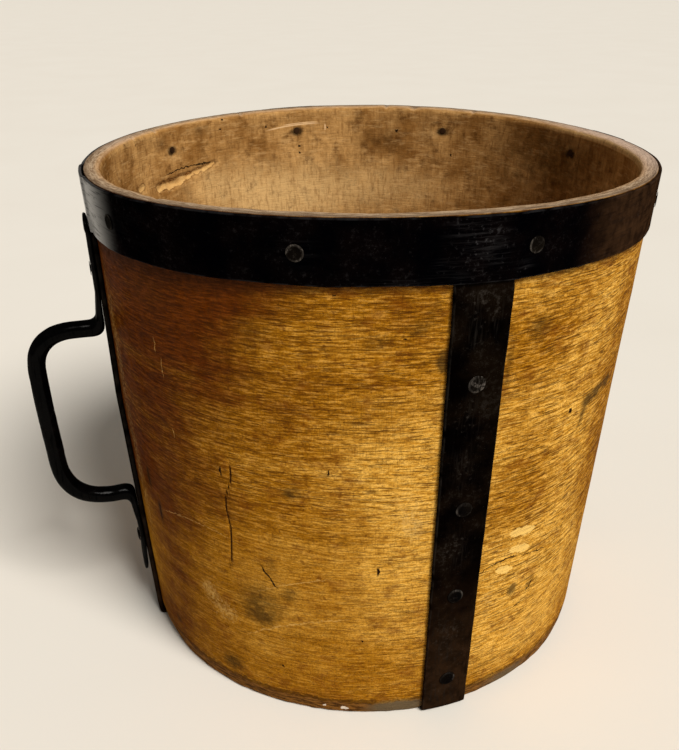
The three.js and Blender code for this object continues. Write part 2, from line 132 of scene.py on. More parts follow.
def skin(name, rings, layers, joined=False):
    """Mesh object over a row of rings of as many points, in millimetres: four-sided faces join each
    ring to the next, and the last ring joins the first, or a fan of triangles closes either end.
    Each layer is a value for every ring point, kept as an attribute of the mesh."""
    rows, count = rings.shape[:2]
    index = np.arange(rows * count).reshape(rows, count)
    points = rings.reshape(-1, 3)
    follow = np.vstack([index, index[:1]]) if joined else index
    beside = np.roll(follow, -1, axis=1)
    quads = np.stack([follow[:-1], beside[:-1], beside[1:], follow[1:]], -1)
    faces = quads.reshape(-1, 4).tolist()
    if not joined:
        points = np.vstack([points, rings[0].mean(0), rings[-1].mean(0)])
        start, end = np.full((2, count), [[len(points) - 2], [len(points) - 1]])
        faces += np.stack([start, beside[0], index[0]], -1).tolist()
        faces += np.stack([end, index[-1], beside[-1]], -1).tolist()
    mesh = bpy.data.meshes.new(name)
    mesh.from_pydata((points * MM).tolist(), [], faces)
    for layer_name, values in layers.items():
        values = np.broadcast_to(values, (rows, count))
        ends = [] if joined else [values[0].mean(), values[-1].mean()]
        stored = mesh.attributes.new(layer_name, "FLOAT", "POINT")
        stored.data.foreach_set("value", np.append(values.ravel(), ends).astype(np.float32))
    mesh.shade_smooth()
    piece = bpy.data.objects.new(name, mesh)
    bpy.context.scene.collection.objects.link(piece)
    return piece


CRACK_HEIGHTS = [82.5, 91.6, 100.6, 112.8, 124.1, 131.1, 142.7, 153.7]
CRACK_ANGLES = [-138.8, -137.4, -137.0, -136.6, -137.2, -137.0, -135.2, -135.1]
CRACK_HALF_WIDTH = 0.55
CRACK_DEPTH = 0.9
CRACK_FOOT = (81, 92)
CRACK_HEAD = (148, 155)
GOUGE_ANGLES = [114.2, 122.2, 129.3, 136.2]
GOUGE_HEIGHTS = [247.3, 243.9, 241.2, 241.1]
GOUGE_DEPTH = 2.1
GOUGE_START = (113.2, 117)
GOUGE_STOP = (135.5, 138)
CHIP = (143.8, 245.3, 4.2, 2.2)
CHIP_DEPTH = 1.2
WALL_COLUMNS = 460
OUTER_ROWS = np.concatenate([np.arange(0, 13, 1.0), np.linspace(14, 244, 66), [251, 260, 269, 275.2]])
INNER_ROWS = np.concatenate([np.linspace(271.4, 228, 36), np.linspace(222, 18, 26), [14, 8, 2]])
RIM_FLAT = np.array([[0.2, 275.65], [0.55, 275.9], [1.1, 276], [2.2, 276], [3.4, 276], [4.6, 276]])
CRACK_COLUMNS = (-139.4, -134.4, 0.2)
GOUGE_COLUMNS = (112, 147, 0.35)
BEVEL_HEIGHT = 8.6
BEVEL_DEPTH = 0.9
ARRIS_HEIGHT = 1.4
ARRIS_DEPTH = 0.8
KNIFE_DEPTH = 0.22
KNIFE_END = (238, 248)
LIP_START = 5.0
LIP_DROP = 3.4
LIP_EDGE = (6.9, 8.3)
RIM_WEAR = 0.28
SCRAPED_DEPTH = 0.25
HOUSING_DEPTH = STRAP_THICKNESS + GAP
HOUSING_EDGE = (12.7, 13.3)


def blot(turn, z, angle, height, half_along, half_up):
    """Soft spot of 1 at an angle and height, falling off as a bell over its half length along the
    girth and its half height."""
    along = girth(away(turn, angle), MEAN_RADIUS) / half_along
    return np.exp(-(along ** 2) - ((z - height) / half_up) ** 2)


def blots(turn, z, spots):
    """Sum of soft spots, each given by its angle, height, half length, half height and strength."""
    return sum(strength * blot(turn, z, *place) for *place, strength in spots)


def fit(piece, finish, node):
    """Piece given its material; it rides on the one body, and the frame's node that it stands for is
    hidden.
    """
    piece.data.materials.append(finish)
    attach(piece, "root")
    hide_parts(node)


def wall_turns():
    """Angles of the wall's columns: even steps, with closer ones at the straps' edges, along the crack
    and across the gouge."""
    edge = math.degrees(STRAP_BOTTOM_WIDTH / 2 / BASE_RADIUS)
    sides = [angle + side * (edge + step) for angle in STRAP_ANGLES.values()
             for side in (-1, 1) for step in (0.0, 0.15, 0.3, 0.5)]
    even = np.linspace(-180, 180, WALL_COLUMNS, endpoint=False)
    turns = np.concatenate([even, sides, np.arange(*CRACK_COLUMNS), np.arange(*GOUGE_COLUMNS)])
    turns = np.unique(np.round(away(turns, 0), 3))
    return turns[np.append(True, np.diff(turns) > 0.08)][None, :]


def wall_outside(turn):
    """Rows up the outside as heights and as depths inside the cone of the wood's outside: a bevel worn
    round the bottom edge, the faint flats of the drawknife, and a crack, whose mask comes third."""
    share = round_share(turn)
    z = OUTER_ROWS[:, None] * np.ones_like(turn)
    bevel_height = BEVEL_HEIGHT + 1.3 * mottle(share, 0, (46, 1), 11)
    bevel_depth = BEVEL_DEPTH + 0.35 * mottle(share, 0, (30, 1), 12)
    depth = bevel_depth * np.clip(1 - z / bevel_height, 0, 1) ** 1.1
    depth += ARRIS_DEPTH * np.clip(1 - z / ARRIS_HEIGHT, 0, 1) ** 2
    depth += 0.2 * (1 - ease(z, 4, 11)) * (1 + mottle(share, z / 40, (210, 30), 13))
    flats = KNIFE_DEPTH + 0.15 * mottle(share, z / HEIGHT, (44, 9), 14)
    flats = flats + 0.06 * mottle(share, z / HEIGHT, (120, 40), 15)
    depth += flats * (1 - ease(z, *KNIFE_END))
    from_crack = np.abs(girth(away(turn, np.interp(z, CRACK_HEIGHTS, CRACK_ANGLES)), wood_radius(z)))
    crack = np.clip(1.5 - from_crack / CRACK_HALF_WIDTH, 0, 1)
    crack = crack * ease(z, *CRACK_FOOT) * (1 - ease(z, *CRACK_HEAD))
    return z, depth + CRACK_DEPTH * crack, crack


def wall_rim(turn):
    """Rows over the rim: a small outer bevel, a flat top worn low here and there, and an inner edge
    rounded along a parabola."""
    share = round_share(turn)
    t = np.linspace(0, 1, 9)[1:]
    lip = np.stack([WALL - (WALL - LIP_START) * (1 - t) ** 2, HEIGHT - LIP_DROP * t ** 2], -1)
    depth, z = np.concatenate([RIM_FLAT, lip]).T[:, :, None]
    wear = RIM_WEAR + 0.16 * mottle(share, 0, (70, 1), 16) + 0.10 * mottle(share, 0, (260, 1), 17)
    wear = wear + ease(mottle(share, 0, (150, 1), 18), 0.72, 1.0)
    return z - wear * ease(depth, 0, 1.2), depth * np.ones_like(turn)


def wall_inside(turn):
    """Rows down the inside, scraped hollow, with one long ragged gouge and a chip beside it, whose mask
    of bare wood comes third."""
    share = round_share(turn)
    z = INNER_ROWS[:, None] * np.ones_like(turn)
    scraped = SCRAPED_DEPTH + 0.16 * mottle(share, z / HEIGHT, (90, 30), 19)
    scraped = scraped + 0.09 * mottle(share, z / HEIGHT, (230, 12), 20)
    half = 2.0 + 1.6 * ease(turn, 116, 132) + 0.7 * mottle(share, 0, (330, 1), 22)
    rise = (z - np.interp(turn, GOUGE_ANGLES, GOUGE_HEIGHTS)) / half
    gouge = (1 - ease(rise, 0.45, 0.95)) * (1 - ease(-rise, 0.3, 1.3))
    gouge = gouge * ease(turn, *GOUGE_START) * (1 - ease(turn, *GOUGE_STOP))
    gouge = gouge * (1 + 0.45 * mottle(share, z / HEIGHT, (330, 90), 21))
    chip = blot(turn, z, *CHIP)
    depth = WALL - scraped * ease(HEIGHT - z, 3, 12) - GOUGE_DEPTH * gouge - CHIP_DEPTH * chip
    return z, depth, np.clip(gouge + chip, 0, 1)


# angle, height, half length, half height and strength of each soft mark on the wood
# dark smudges; the two high on the left, just under the band, are painted shadow of the band with its dirt
OUTER_SMUDGES_AND_SHADOW = [
    (-131.1, 70, 17, 14, 0.75), (-131.6, 59, 9, 5, 0.6), (-123.7, 79.4, 5, 4, 0.7),
    (-127.8, 97, 4, 8, 0.5), (-140.3, 18, 9, 7, 0.9), (-160.6, 21.6, 4, 4, 0.9),
    (-106.9, 221.3, 7, 4, 0.75), (-100.5, 227.3, 6, 4, 0.7), (-95.8, 211.5, 3.0, 5, 1.6),
    (-97.7, 237, 5, 8, 0.45), (-83.6, 206, 2.4, 24, 0.6), (-77.7, 221, 8, 8, 0.75),
    (-77.9, 238, 5, 4, 0.5), (-59.8, 170, 5, 4, 1.3), (-55.5, 172, 6, 3, 1.6), (-50.3, 172.5, 6, 3, 1.5),
    (-60.7, 161, 2.5, 5, 0.9), (-74.7, 68.9, 3.4, 2.6, 1.8), (-69.2, 67.8, 3, 5, 0.7),
    (-72.3, 55.1, 4, 2, 0.8), (-79.5, 22.5, 9, 3, 0.55), (-71.7, 20, 9, 3, 0.55),
    (-65.0, 22.5, 9, 3, 0.55), (-122.4, 142.4, 7, 3.4, 1.0), (-115.5, 111.8, 3, 3, 0.5),
    (-126.6, 112.5, 3, 2, 0.5), (-143.8, 89, 3, 3, 0.5), (-155.1, 65.2, 4, 3, 0.5),
    (-128.6, 40.5, 3, 1.5, 0.6), (-163.3, 117, 3, 8, 1.1), (-160.0, 99, 3, 8, 1.0),
    (-151.0, 232, 22, 14, 0.45), (-127, 222, 15, 11, 0.4), (-135, 175, 12, 16, 0.3),
    (40, 60, 16, 9, 0.7), (62, 150, 8, 13, 0.6), (128, 40, 14, 8, 0.8), (150, 190, 9, 6, 0.5),
    (22, 205, 12, 6, 0.5), (-20, 110, 5, 12, 0.6), (112, 118, 3, 3, 0.9), (-30, 30, 10, 5, 0.7),
]
# pale worn spots outside; the two tall ones along the left edge are a painted sheen
OUTER_PALE = [
    (-81.2, 69, 7, 8, 0.5), (-99.3, 124.4, 8, 10, 0.45), (-69, 38, 30, 12, 0.4),
    (-101, 140, 16, 22, 0.35), (-140.5, 54, 13, 10, 0.55), (-145.3, 65.9, 9, 9, 0.5),
    (-101, 4, 16, 6, 1.2), (-72, 4, 20, 6, 0.7), (-171, 195, 13, 75, 0.42), (-169, 95, 12, 50, 0.36),
    (35, 120, 10, 4, 0.8), (75, 55, 12, 5, 0.7), (140, 95, 9, 4, 0.7),
]
# tones added to the patina: the lighter one in the front's middle is partly a painted highlight, and the
# darker one high beside the handle is painted shadow under the band
OUTER_TONES = [
    (-98, 150, 26, 48, -0.44), (-76, 45, 32, 32, -0.2), (-114, 55, 42, 40, 0.24),
    (-44, 150, 32, 120, 0.33), (-72, 222, 26, 22, 0.22), (-148, 240, 65, 24, 0.28),
    (-155, 50, 26, 50, 0.28), (-147, 86, 22, 12, -0.12), (-152, 118, 24, 18, 0.26),
    (-118, 225, 20, 20, -0.08), (-119, 208, 14, 20, 0.18), (60, 120, 60, 60, -0.15),
    (120, 190, 50, 40, 0.2),
]
# pale spots inside; the large one at the back is painted light where the key falls inside
INNER_PALE = [
    (95, 218, 60, 24, 1.0), (118, 236, 30, 16, 0.4), (60, 222, 40, 18, 0.5), (-90, 200, 60, 40, 0.5),
]
RIM_PALE = [(-12, HEIGHT, 75, 30, 1.0), (150, HEIGHT, 40, 30, 0.4)]
INNER_SMUDGES = [
    (133.5, 266, 8, 6, 0.6), (66, 254, 22, 12, 0.6), (118.7, 270, 9, 5, 0.6), (12, 252, 62, 40, 0.7),
    (-60, 200, 40, 40, 0.4), (100, 160, 30, 20, 0.4), (-150, 120, 25, 40, 0.4), (160, 60, 40, 20, 0.5),
]


def strap_half_width(z):
    """Half of a strap's width, which grows evenly with the height."""
    return (STRAP_BOTTOM_WIDTH + (STRAP_TOP_WIDTH - STRAP_BOTTOM_WIDTH) * z / HEIGHT) / 2


# the side by the handle: darker from handling, and also by painted shade, as the key light leaves that side
# in shade
HANDLED_SHADED_ANGLE = -168.0
HANDLED_SHADED_FADE = (22, 62)
DULLED_ANGLE = -150.0
DULLED_FADE = (30, 75)
DULLED_FOOT = (-62, 25, 50, 40)
BAND_STAIN = (5.0, 3.2)
STRAP_STAIN = (5.5, 4.5)


def wall_marks(turn, z, outer, inner):
    """Layers of marks: sums of soft spots on the outside, the rim and the inside, some of which are
    painted shadow under the band, a painted sheen along the left edge and painted light inside at the
    back; dirt where iron meets the wood, with painted shadow under the band that widens towards the
    handle; iron stain round the rivets' ends; the patina, a slow noise that is darker towards the
    handle, from handling and also as painted shade on the side turned from the key, with tones that
    add a painted highlight in the front's middle and more painted shadow under the band; and how
    clear the grain is, which hands have dulled low down and beside the handle."""
    share = round_share(turn)
    smudge_and_shadow = blots(turn, z, OUTER_SMUDGES_AND_SHADOW) * outer
    smudge_and_shadow = smudge_and_shadow + blots(turn, z, INNER_SMUDGES) * inner
    pale = blots(turn, z, OUTER_PALE) * outer
    pale = pale + blots(turn, z, INNER_PALE) * inner
    pale = pale + blots(turn, z, RIM_PALE) * (outer == inner)
    stain = sum(blot(turn, z, angle, BAND_RIVET_HEIGHT, *BAND_STAIN) for angle in BAND_RIVET_ANGLES)
    for name in RIVETED_STRAPS:
        for height in STRAP_RIVET_HEIGHTS:
            stain = stain + blot(turn, z, STRAP_ANGLES[name], height, *STRAP_STAIN)
    toward_handle = 1 - ease(np.abs(away(turn, HANDLED_SHADED_ANGLE)), *HANDLED_SHADED_FADE)
    # darker just under the band: dirt, and painted shadow of the band, wider towards the handle
    grime_and_shadow = 1 - ease(BAND_BOTTOM - z, 0.3, 5.0 + 11.0 * toward_handle)
    for angle in STRAP_ANGLES.values():
        beside = np.abs(girth(away(turn, angle), wood_radius(z))) - strap_half_width(z)
        grime_and_shadow = np.maximum(grime_and_shadow, 0.7 - 0.7 * ease(beside, 0.2, 1.8))
    # darker towards the handle: handling, and painted shade on the side turned from the key
    patina_light_and_shade = 0.28 + 0.62 * toward_handle * (0.55 + 0.45 * ease(z, 40, 170))
    patina_light_and_shade = patina_light_and_shade + blots(turn, z, OUTER_TONES)
    patina_light_and_shade = patina_light_and_shade + 0.2 * mottle(share, z / HEIGHT, (9, 4), 31)
    patina_light_and_shade = patina_light_and_shade + 0.12 * mottle(share, z / HEIGHT, (24, 9), 32)
    dulled = 1 - ease(np.abs(away(turn, DULLED_ANGLE)), *DULLED_FADE)
    clear = 1 - 0.4 * dulled * (1 - ease(z, 90, 150)) - 0.15 * dulled
    clear = clear - 0.35 * blot(turn, z, *DULLED_FOOT)
    return {
        "smudge_and_shadow": smudge_and_shadow,
        "pale": pale,
        "stain": stain * inner,
        "grime_and_shadow": grime_and_shadow * outer,
        "patina_light_and_shade": np.clip(patina_light_and_shade, 0, 1),
        "clear": clear,
    }


def wall_piece():
    """Wall as rows round the axis, each one place of the board's section at every angle: outwards
    underneath, up the outside, over the rim and down the inside, which joins the first row again."""
    turn = wall_turns()
    level = np.ones_like(turn)
    outer_z, outer_depth, crack = wall_outside(turn)
    rim_z, rim_depth = wall_rim(turn)
    inner_z, inner_depth, bare = wall_inside(turn)
    across = np.linspace(1, 0.12, 6)[:, None]
    under = WALL * across + outer_depth[:1] * (1 - across)
    counts = [len(under), len(outer_z), len(rim_z), len(inner_z)]
    face = np.repeat([0, 1, 2, 3], counts)[:, None] * level
    depth = np.concatenate([under, outer_depth, rim_depth, inner_depth])
    z = np.concatenate([0 * under, outer_z, rim_z, inner_z])
    for angle in STRAP_ANGLES.values():
        beside = np.abs(girth(away(turn, angle), BASE_RADIUS))
        z = np.maximum(z, HOUSING_DEPTH * (1 - ease(beside, *HOUSING_EDGE)))
    outer, rim, inner = face <= 1, face == 2, face == 3
    layers = wall_marks(turn, z, outer, inner)
    layers["rim"] = rim * (1 - ease(depth, *LIP_EDGE))
    layers["inner"] = np.maximum(inner, rim * ease(depth, *LIP_EDGE))
    layers["depth"] = depth * MM
    layers["split"], layers["bare"] = np.zeros_like(z), np.zeros_like(z)
    layers["split"][face == 1] = crack.ravel()
    layers["bare"][inner] = bare.ravel()
    return skin("wall", settled(around(turn, wood_radius(z) - depth, z)), layers, joined=True)


def add(tree, kind, inputs=(), **settings):
    """New node of a kind with its settings, each input linked to a socket or set to a value."""
    made = tree.nodes.new(kind)
    for name, value in settings.items():
        setattr(made, name, value)
    for name, value in dict(inputs).items():
        if isinstance(value, bpy.types.NodeSocket):
            tree.links.new(value, made.inputs[name])
        else:
            made.inputs[name].default_value = value
    return made


def feed(node, sockets):
    """Sockets linked to a node's inputs by name."""
    for name, socket in sockets.items():
        node.id_data.links.new(socket, node.inputs[name])


def calc(operation, first, second=0.0, third=0.0):
    """Sum, product or other operation on two or three values, the first of them a socket."""
    values = {0: first, 1: second, 2: third}
    return add(first.id_data, "ShaderNodeMath", values, operation=operation).outputs[0]


def less(value, taken):
    """Value with another taken from it."""
    return calc("SUBTRACT", value, taken)


def scaled(value, factor, more):
    """Value times a factor, plus more."""
    return calc("MULTIPLY_ADD", value, factor, more)


def times(*values):
    """Product of values."""
    product = values[0]
    for value in values[1:]:
        product = calc("MULTIPLY", product, value)
    return product


def ramp(value, low, high, start=0.0, end=1.0):
    """Value carried smoothly from start at low to end at high, and held beyond them."""
    names = {"Value": value, "From Min": low, "From Max": high, "To Min": start, "To Max": end}
    return add(value.id_data, "ShaderNodeMapRange", names, interpolation_type="SMOOTHSTEP").outputs[0]


def paint(share, under, over):
    """One colour laid over another by a share, each a socket or 8-bit red, green and blue."""
    under, over = (shade(*tint) if isinstance(tint, tuple) else tint for tint in (under, over))
    return add(share.id_data, "ShaderNodeMix", {0: share, 6: under, 7: over}, data_type="RGBA").outputs[2]


def laid(under, value, low, high, most, tint):
    """Colour laid over another where a value is high: none of it at low, and most of it from high on."""
    return paint(ramp(value, low, high, 0.0, most), under, tint)


def stretch(vector, scale):
    """Place multiplied by a scale for each direction, so that a noise on it is drawn out in some."""
    drawn = add(vector.id_data, "ShaderNodeVectorMath", {0: vector, 1: scale}, operation="MULTIPLY")
    return drawn.outputs[0]


def cloud(vector, scale=1.0, detail=2.0, rough=0.5):
    """Noise from 0 to 1 on a place."""
    names = {"Vector": vector, "Scale": scale, "Detail": detail, "Roughness": rough}
    return add(vector.id_data, "ShaderNodeTexNoise", names).outputs[0]


def combed(vector, scale, detail, rough=0.5):
    """Noise from 0 to 1 drawn out along the directions with a low scale."""
    return cloud(stretch(vector, scale), 1.0, detail, rough)


def bumped(height, strength, distance):
    """Normal tilted by the slope of a height, by a strength and over a distance in metres."""
    names = {"Height": height, "Strength": strength, "Distance": distance}
    return add(height.id_data, "ShaderNodeBump", names).outputs[0]


def own_place(tree):
    """Place in the piece's own frame, in metres."""
    return add(tree, "ShaderNodeTexCoord").outputs["Object"]


def parted(vector):
    """X, Y and Z of a place, by name."""
    return add(vector.id_data, "ShaderNodeSeparateXYZ", {0: vector}).outputs


def layer(tree, name):
    """Value of one of the mesh's own attributes."""
    return add(tree, "ShaderNodeAttribute", attribute_name=name).outputs["Fac"]


def shade(red, green, blue):
    """Linear colour of a paint given as 8-bit red, green and blue."""
    share = np.array([red, green, blue]) / 255
    linear = np.where(share <= 0.04045, share / 12.92, ((share + 0.055) / 1.055) ** 2.4)
    return (*linear.tolist(), 1.0)


def material(name, specular, roughness=0.5):
    """New material: its node tree and its Principled shader, with their constant gloss."""
    made = bpy.data.materials.new(name)
    made.use_nodes = True
    shader = made.node_tree.nodes["Principled BSDF"]
    shader.inputs["Specular IOR Level"].default_value = specular
    shader.inputs["Roughness"].default_value = roughness
    return made, made.node_tree, shader


def group(name, outputs):
    """New shader node group on a place, with its named outputs: the tree, the place and the end."""
    tree = bpy.data.node_groups.new(name, "ShaderNodeTree")
    tree.interface.new_socket("Vector", in_out="INPUT", socket_type="NodeSocketVector")
    for socket in outputs:
        tree.interface.new_socket(socket, in_out="OUTPUT", socket_type="NodeSocketFloat")
    return tree, tree.nodes.new("NodeGroupInput").outputs["Vector"], tree.nodes.new("NodeGroupOutput")


def beech_grain():
    """Grain of a beech board on a place in metres, X along the grain: slow streaks, long and short
    fibres mixed, the dark dashes and lines of the rays, the scraper's ticks across them and fine pores,
    each a stretched noise, on a grain that wanders a little."""
    tree, place, leave = group("beech grain", ["Streak", "Fibre", "Fleck", "Tick", "Pore", "Height"])
    wander = combed(place, (9, 26, 26), 3.0)
    shift = times(less(wander, 0.5), 0.006)
    side = add(tree, "ShaderNodeCombineXYZ", {"Y": shift}).outputs[0]
    grain = add(tree, "ShaderNodeVectorMath", {0: place, 1: side}, operation="ADD").outputs[0]
    streak = combed(grain, (5, 130, 130), 4.0, 0.6)
    long = combed(grain, (56, 700, -700), 4.0, 0.65)
    short = combed(grain, (150, 980, 980), 4.0, 0.68)
    fibre = scaled(less(long, short), 0.25, short)
    dash = combed(grain, (110, 1300, -1300), 3.0, 0.6)
    line = combed(grain, (66, 1150, 1150), 3.0, 0.6)
    tick = combed(place, (1400, 210, 300), 3.0, 0.6)
    pore = combed(place, (900, 1400, 1400), 2.0, 0.6)
    thick = combed(place, (14, 45, 45), 2.0)
    crowd = scaled(thick, 0.24, -0.12)
    dashes = ramp(calc("ADD", dash, crowd), 0.55, 0.66)
    lines = ramp(less(line, crowd), 0.58, 0.68)
    fleck = calc("MAXIMUM", dashes, lines)
    cut = ramp(less(tick, crowd), 0.50, 0.72)
    rise = less(fibre, times(fleck, 0.5))
    rise = less(rise, times(cut, 0.3))
    named = {
        "Streak": ramp(streak, 0.3, 0.7),
        "Fibre": ramp(fibre, 0.40, 0.60),
        "Fleck": fleck,
        "Tick": cut,
        "Pore": ramp(pore, 0.42, 0.66),
        "Height": rise,
    }
    feed(leave, named)
    return tree


BEECH_GRAIN = beech_grain()


def grown(tree, place):
    """Outputs of the beech grain on a place, by name."""
    return add(tree, "ShaderNodeGroup", {"Vector": place}, node_tree=BEECH_GRAIN).outputs


def straightened(tree):
    """Place in the bent board laid straight again: the length along the girth from the rear, and the
    height. The jump from end to end is under the front strap, at the scarf."""
    place = own_place(tree)
    apart = parted(place)
    turn = calc("ARCTAN2", apart["X"], apart["Y"])
    return place, times(turn, MEAN_RADIUS * MM), apart["Z"]


def stroke(along, z, mark):
    """Thin line on the board laid straight, given by its middle's angle and height, its half length and
    half width in millimetres, and its slope and bend, 0 where left out: 1 where the height differs from
    middle + slope a + bend a^2 by less than the half width, a being the length from the middle."""
    angle, height, half_length, half_width, slope, bend = (*mark, 0.0, 0.0)[:6]
    middle = float(girth(away(90, angle), MEAN_RADIUS)) * MM
    aside = less(along, middle)
    lift = times(scaled(aside, bend / MM, slope), aside)
    off = calc("ABSOLUTE", less(less(z, height * MM), lift))
    within = ramp(calc("ABSOLUTE", aside), 0.6 * half_length * MM, half_length * MM, 1.0, 0.0)
    return times(ramp(off, 0.4 * half_width * MM, half_width * MM, 1.0, 0.0), within)


def oval(along, z, mark):
    """Spot of the same measures as a stroke without a bend: 1 at its middle, and 1 less the squares of
    the shares of its half length and half width away from there."""
    angle, height, half_length, half_width, slope = (*mark, 0.0)[:5]
    middle = float(girth(away(90, angle), MEAN_RADIUS)) * MM
    aside = less(along, middle)
    off = less(less(z, height * MM), times(aside, slope))
    first = calc("POWER", calc("ABSOLUTE", times(aside, 1 / (half_length * MM))), 2.0)
    second = calc("POWER", calc("ABSOLUTE", times(off, 1 / (half_width * MM))), 2.0)
    return scaled(calc("ADD", first, second), -1.0, 1.0)


def strokes(along, z, marks, shape=stroke):
    """Strongest of several strokes or spots at each place."""
    found = shape(along, z, marks[0])
    for mark in marks[1:]:
        found = calc("MAXIMUM", found, shape(along, z, mark))
    return found


# angle, height, half length, half width, and slope and bend where there are any, of each thin mark: pale
# growth lines and scratches, pale scars, dark cracks and cuts, one of them a painted shadow under the
# gouge's top edge, and worm holes, as long as they are wide
PALE_LINES = [
    (-123.5, 60.3, 34, 0.7, -0.4, -0.005), (-124.0, 86.8, 24, 0.5, -0.42, -0.004),
    (-146, 108, 34, 0.32, -0.05, -0.006), (-150.8, 205, 0.3, 5.0), (-149.4, 194, 0.3, 6.0),
    (-148.8, 159, 0.3, 3.0),
]
SCARS = [
    (-74.2, 106.6, 11, 3.4, 0.15), (-74.3, 95.6, 9, 2.8, 0.25), (-77.9, 85.3, 7, 3.0, 0.2),
    (-20.0, 160.0, 8, 3.0, 0.2), (70.0, 200.0, 9, 3.0, -0.2),
]
OUTER_CUTS = [
    (-80.0, 92.1, 15, 0.5, -0.167, -0.0153), (-69.5, 88.4, 14, 0.35, 0.205, 0.004),
    (-105.9, 99.3, 0.9, 3.4), (-163.3, 117, 0.7, 7.0), (-160.0, 99, 0.7, 7.0), (-108.8, 53.1, 0.8, 0.8),
    (-126.8, 28.7, 0.8, 0.8), (-65.6, 169.8, 1.4, 1.8), (-128.4, 88.7, 5.5, 1.0, 1.37),
    (-137.3, 147, 0.6, 4.0), (-69.0, 65.8, 3.4, 0.7, -1.22), (-72.3, 55.9, 4.0, 0.5, -0.3),
    (-115.4, 156.7, 0.6, 2.2), (-113.6, 244.5, 0.8, 0.8), (-102.4, 224.0, 1.0, 0.6),
    (60.0, 90.0, 20, 0.45, 0.1, 0.004), (140.0, 150.0, 0.8, 0.8), (35.0, 190.0, 0.8, 0.8),
    (-25.0, 70.0, 0.7, 5.0),
]
FOOT_CHIPS = [
    (-113.0, 3.6, 3.0, 1.8), (-117.6, 4.4, 0.9, 0.7), (20.0, 4.0, 2.4, 1.4),
]
# dark cuts and worm holes inside; the long one is a painted shadow under the gouge's top edge
INNER_CUTS_AND_SHADOW = [
    (111.8, 274.0, 1.0, 1.0), (112.6, 268.4, 0.9, 0.9), (98.9, 266.7, 0.9, 0.9),
    (124.0, 248.3, 26, 0.6, 0.03, -0.003), (89.5, 252.4, 0.9, 0.9), (89.3, 247.6, 0.8, 0.8),
    (61.7, 261.4, 1.2, 1.2), (45.9, 246.9, 1.0, 1.0), (81.3, 264.1, 0.8, 0.8),
]
INNER_LINES = [
    (91.1, 266.3, 21, 0.65, 0.077, -0.0023), (89.0, 267.6, 14, 0.4, 0.05, -0.002),
    (81.9, 264.3, 0.6, 2.6),
]


# light and dark fibres, each fresh, aged and browned by hands, as 8-bit red, green and blue; the
# browned ones also stand for painted shade on the side by the handle
LIGHT_FIBRES = [(250, 194, 87), (196, 134, 24), (112, 52, 3)]
DARK_FIBRES = [(188, 130, 36), (130, 80, 8), (62, 26, 2)]
# heights in metres of a darker line just above the foot's bevel and of the bevel's rubbed band
FOOT_DARK_LINE = (0.0098, 0.0112)
FOOT_RUB = (0.0074, 0.0092)
# depths in metres of a darker outer edge of the rim beside the band and of its tan inner lip
RIM_DARK_EDGE = (0.0008, 0.0034)
RIM_TAN = (0.0042, 0.0072)


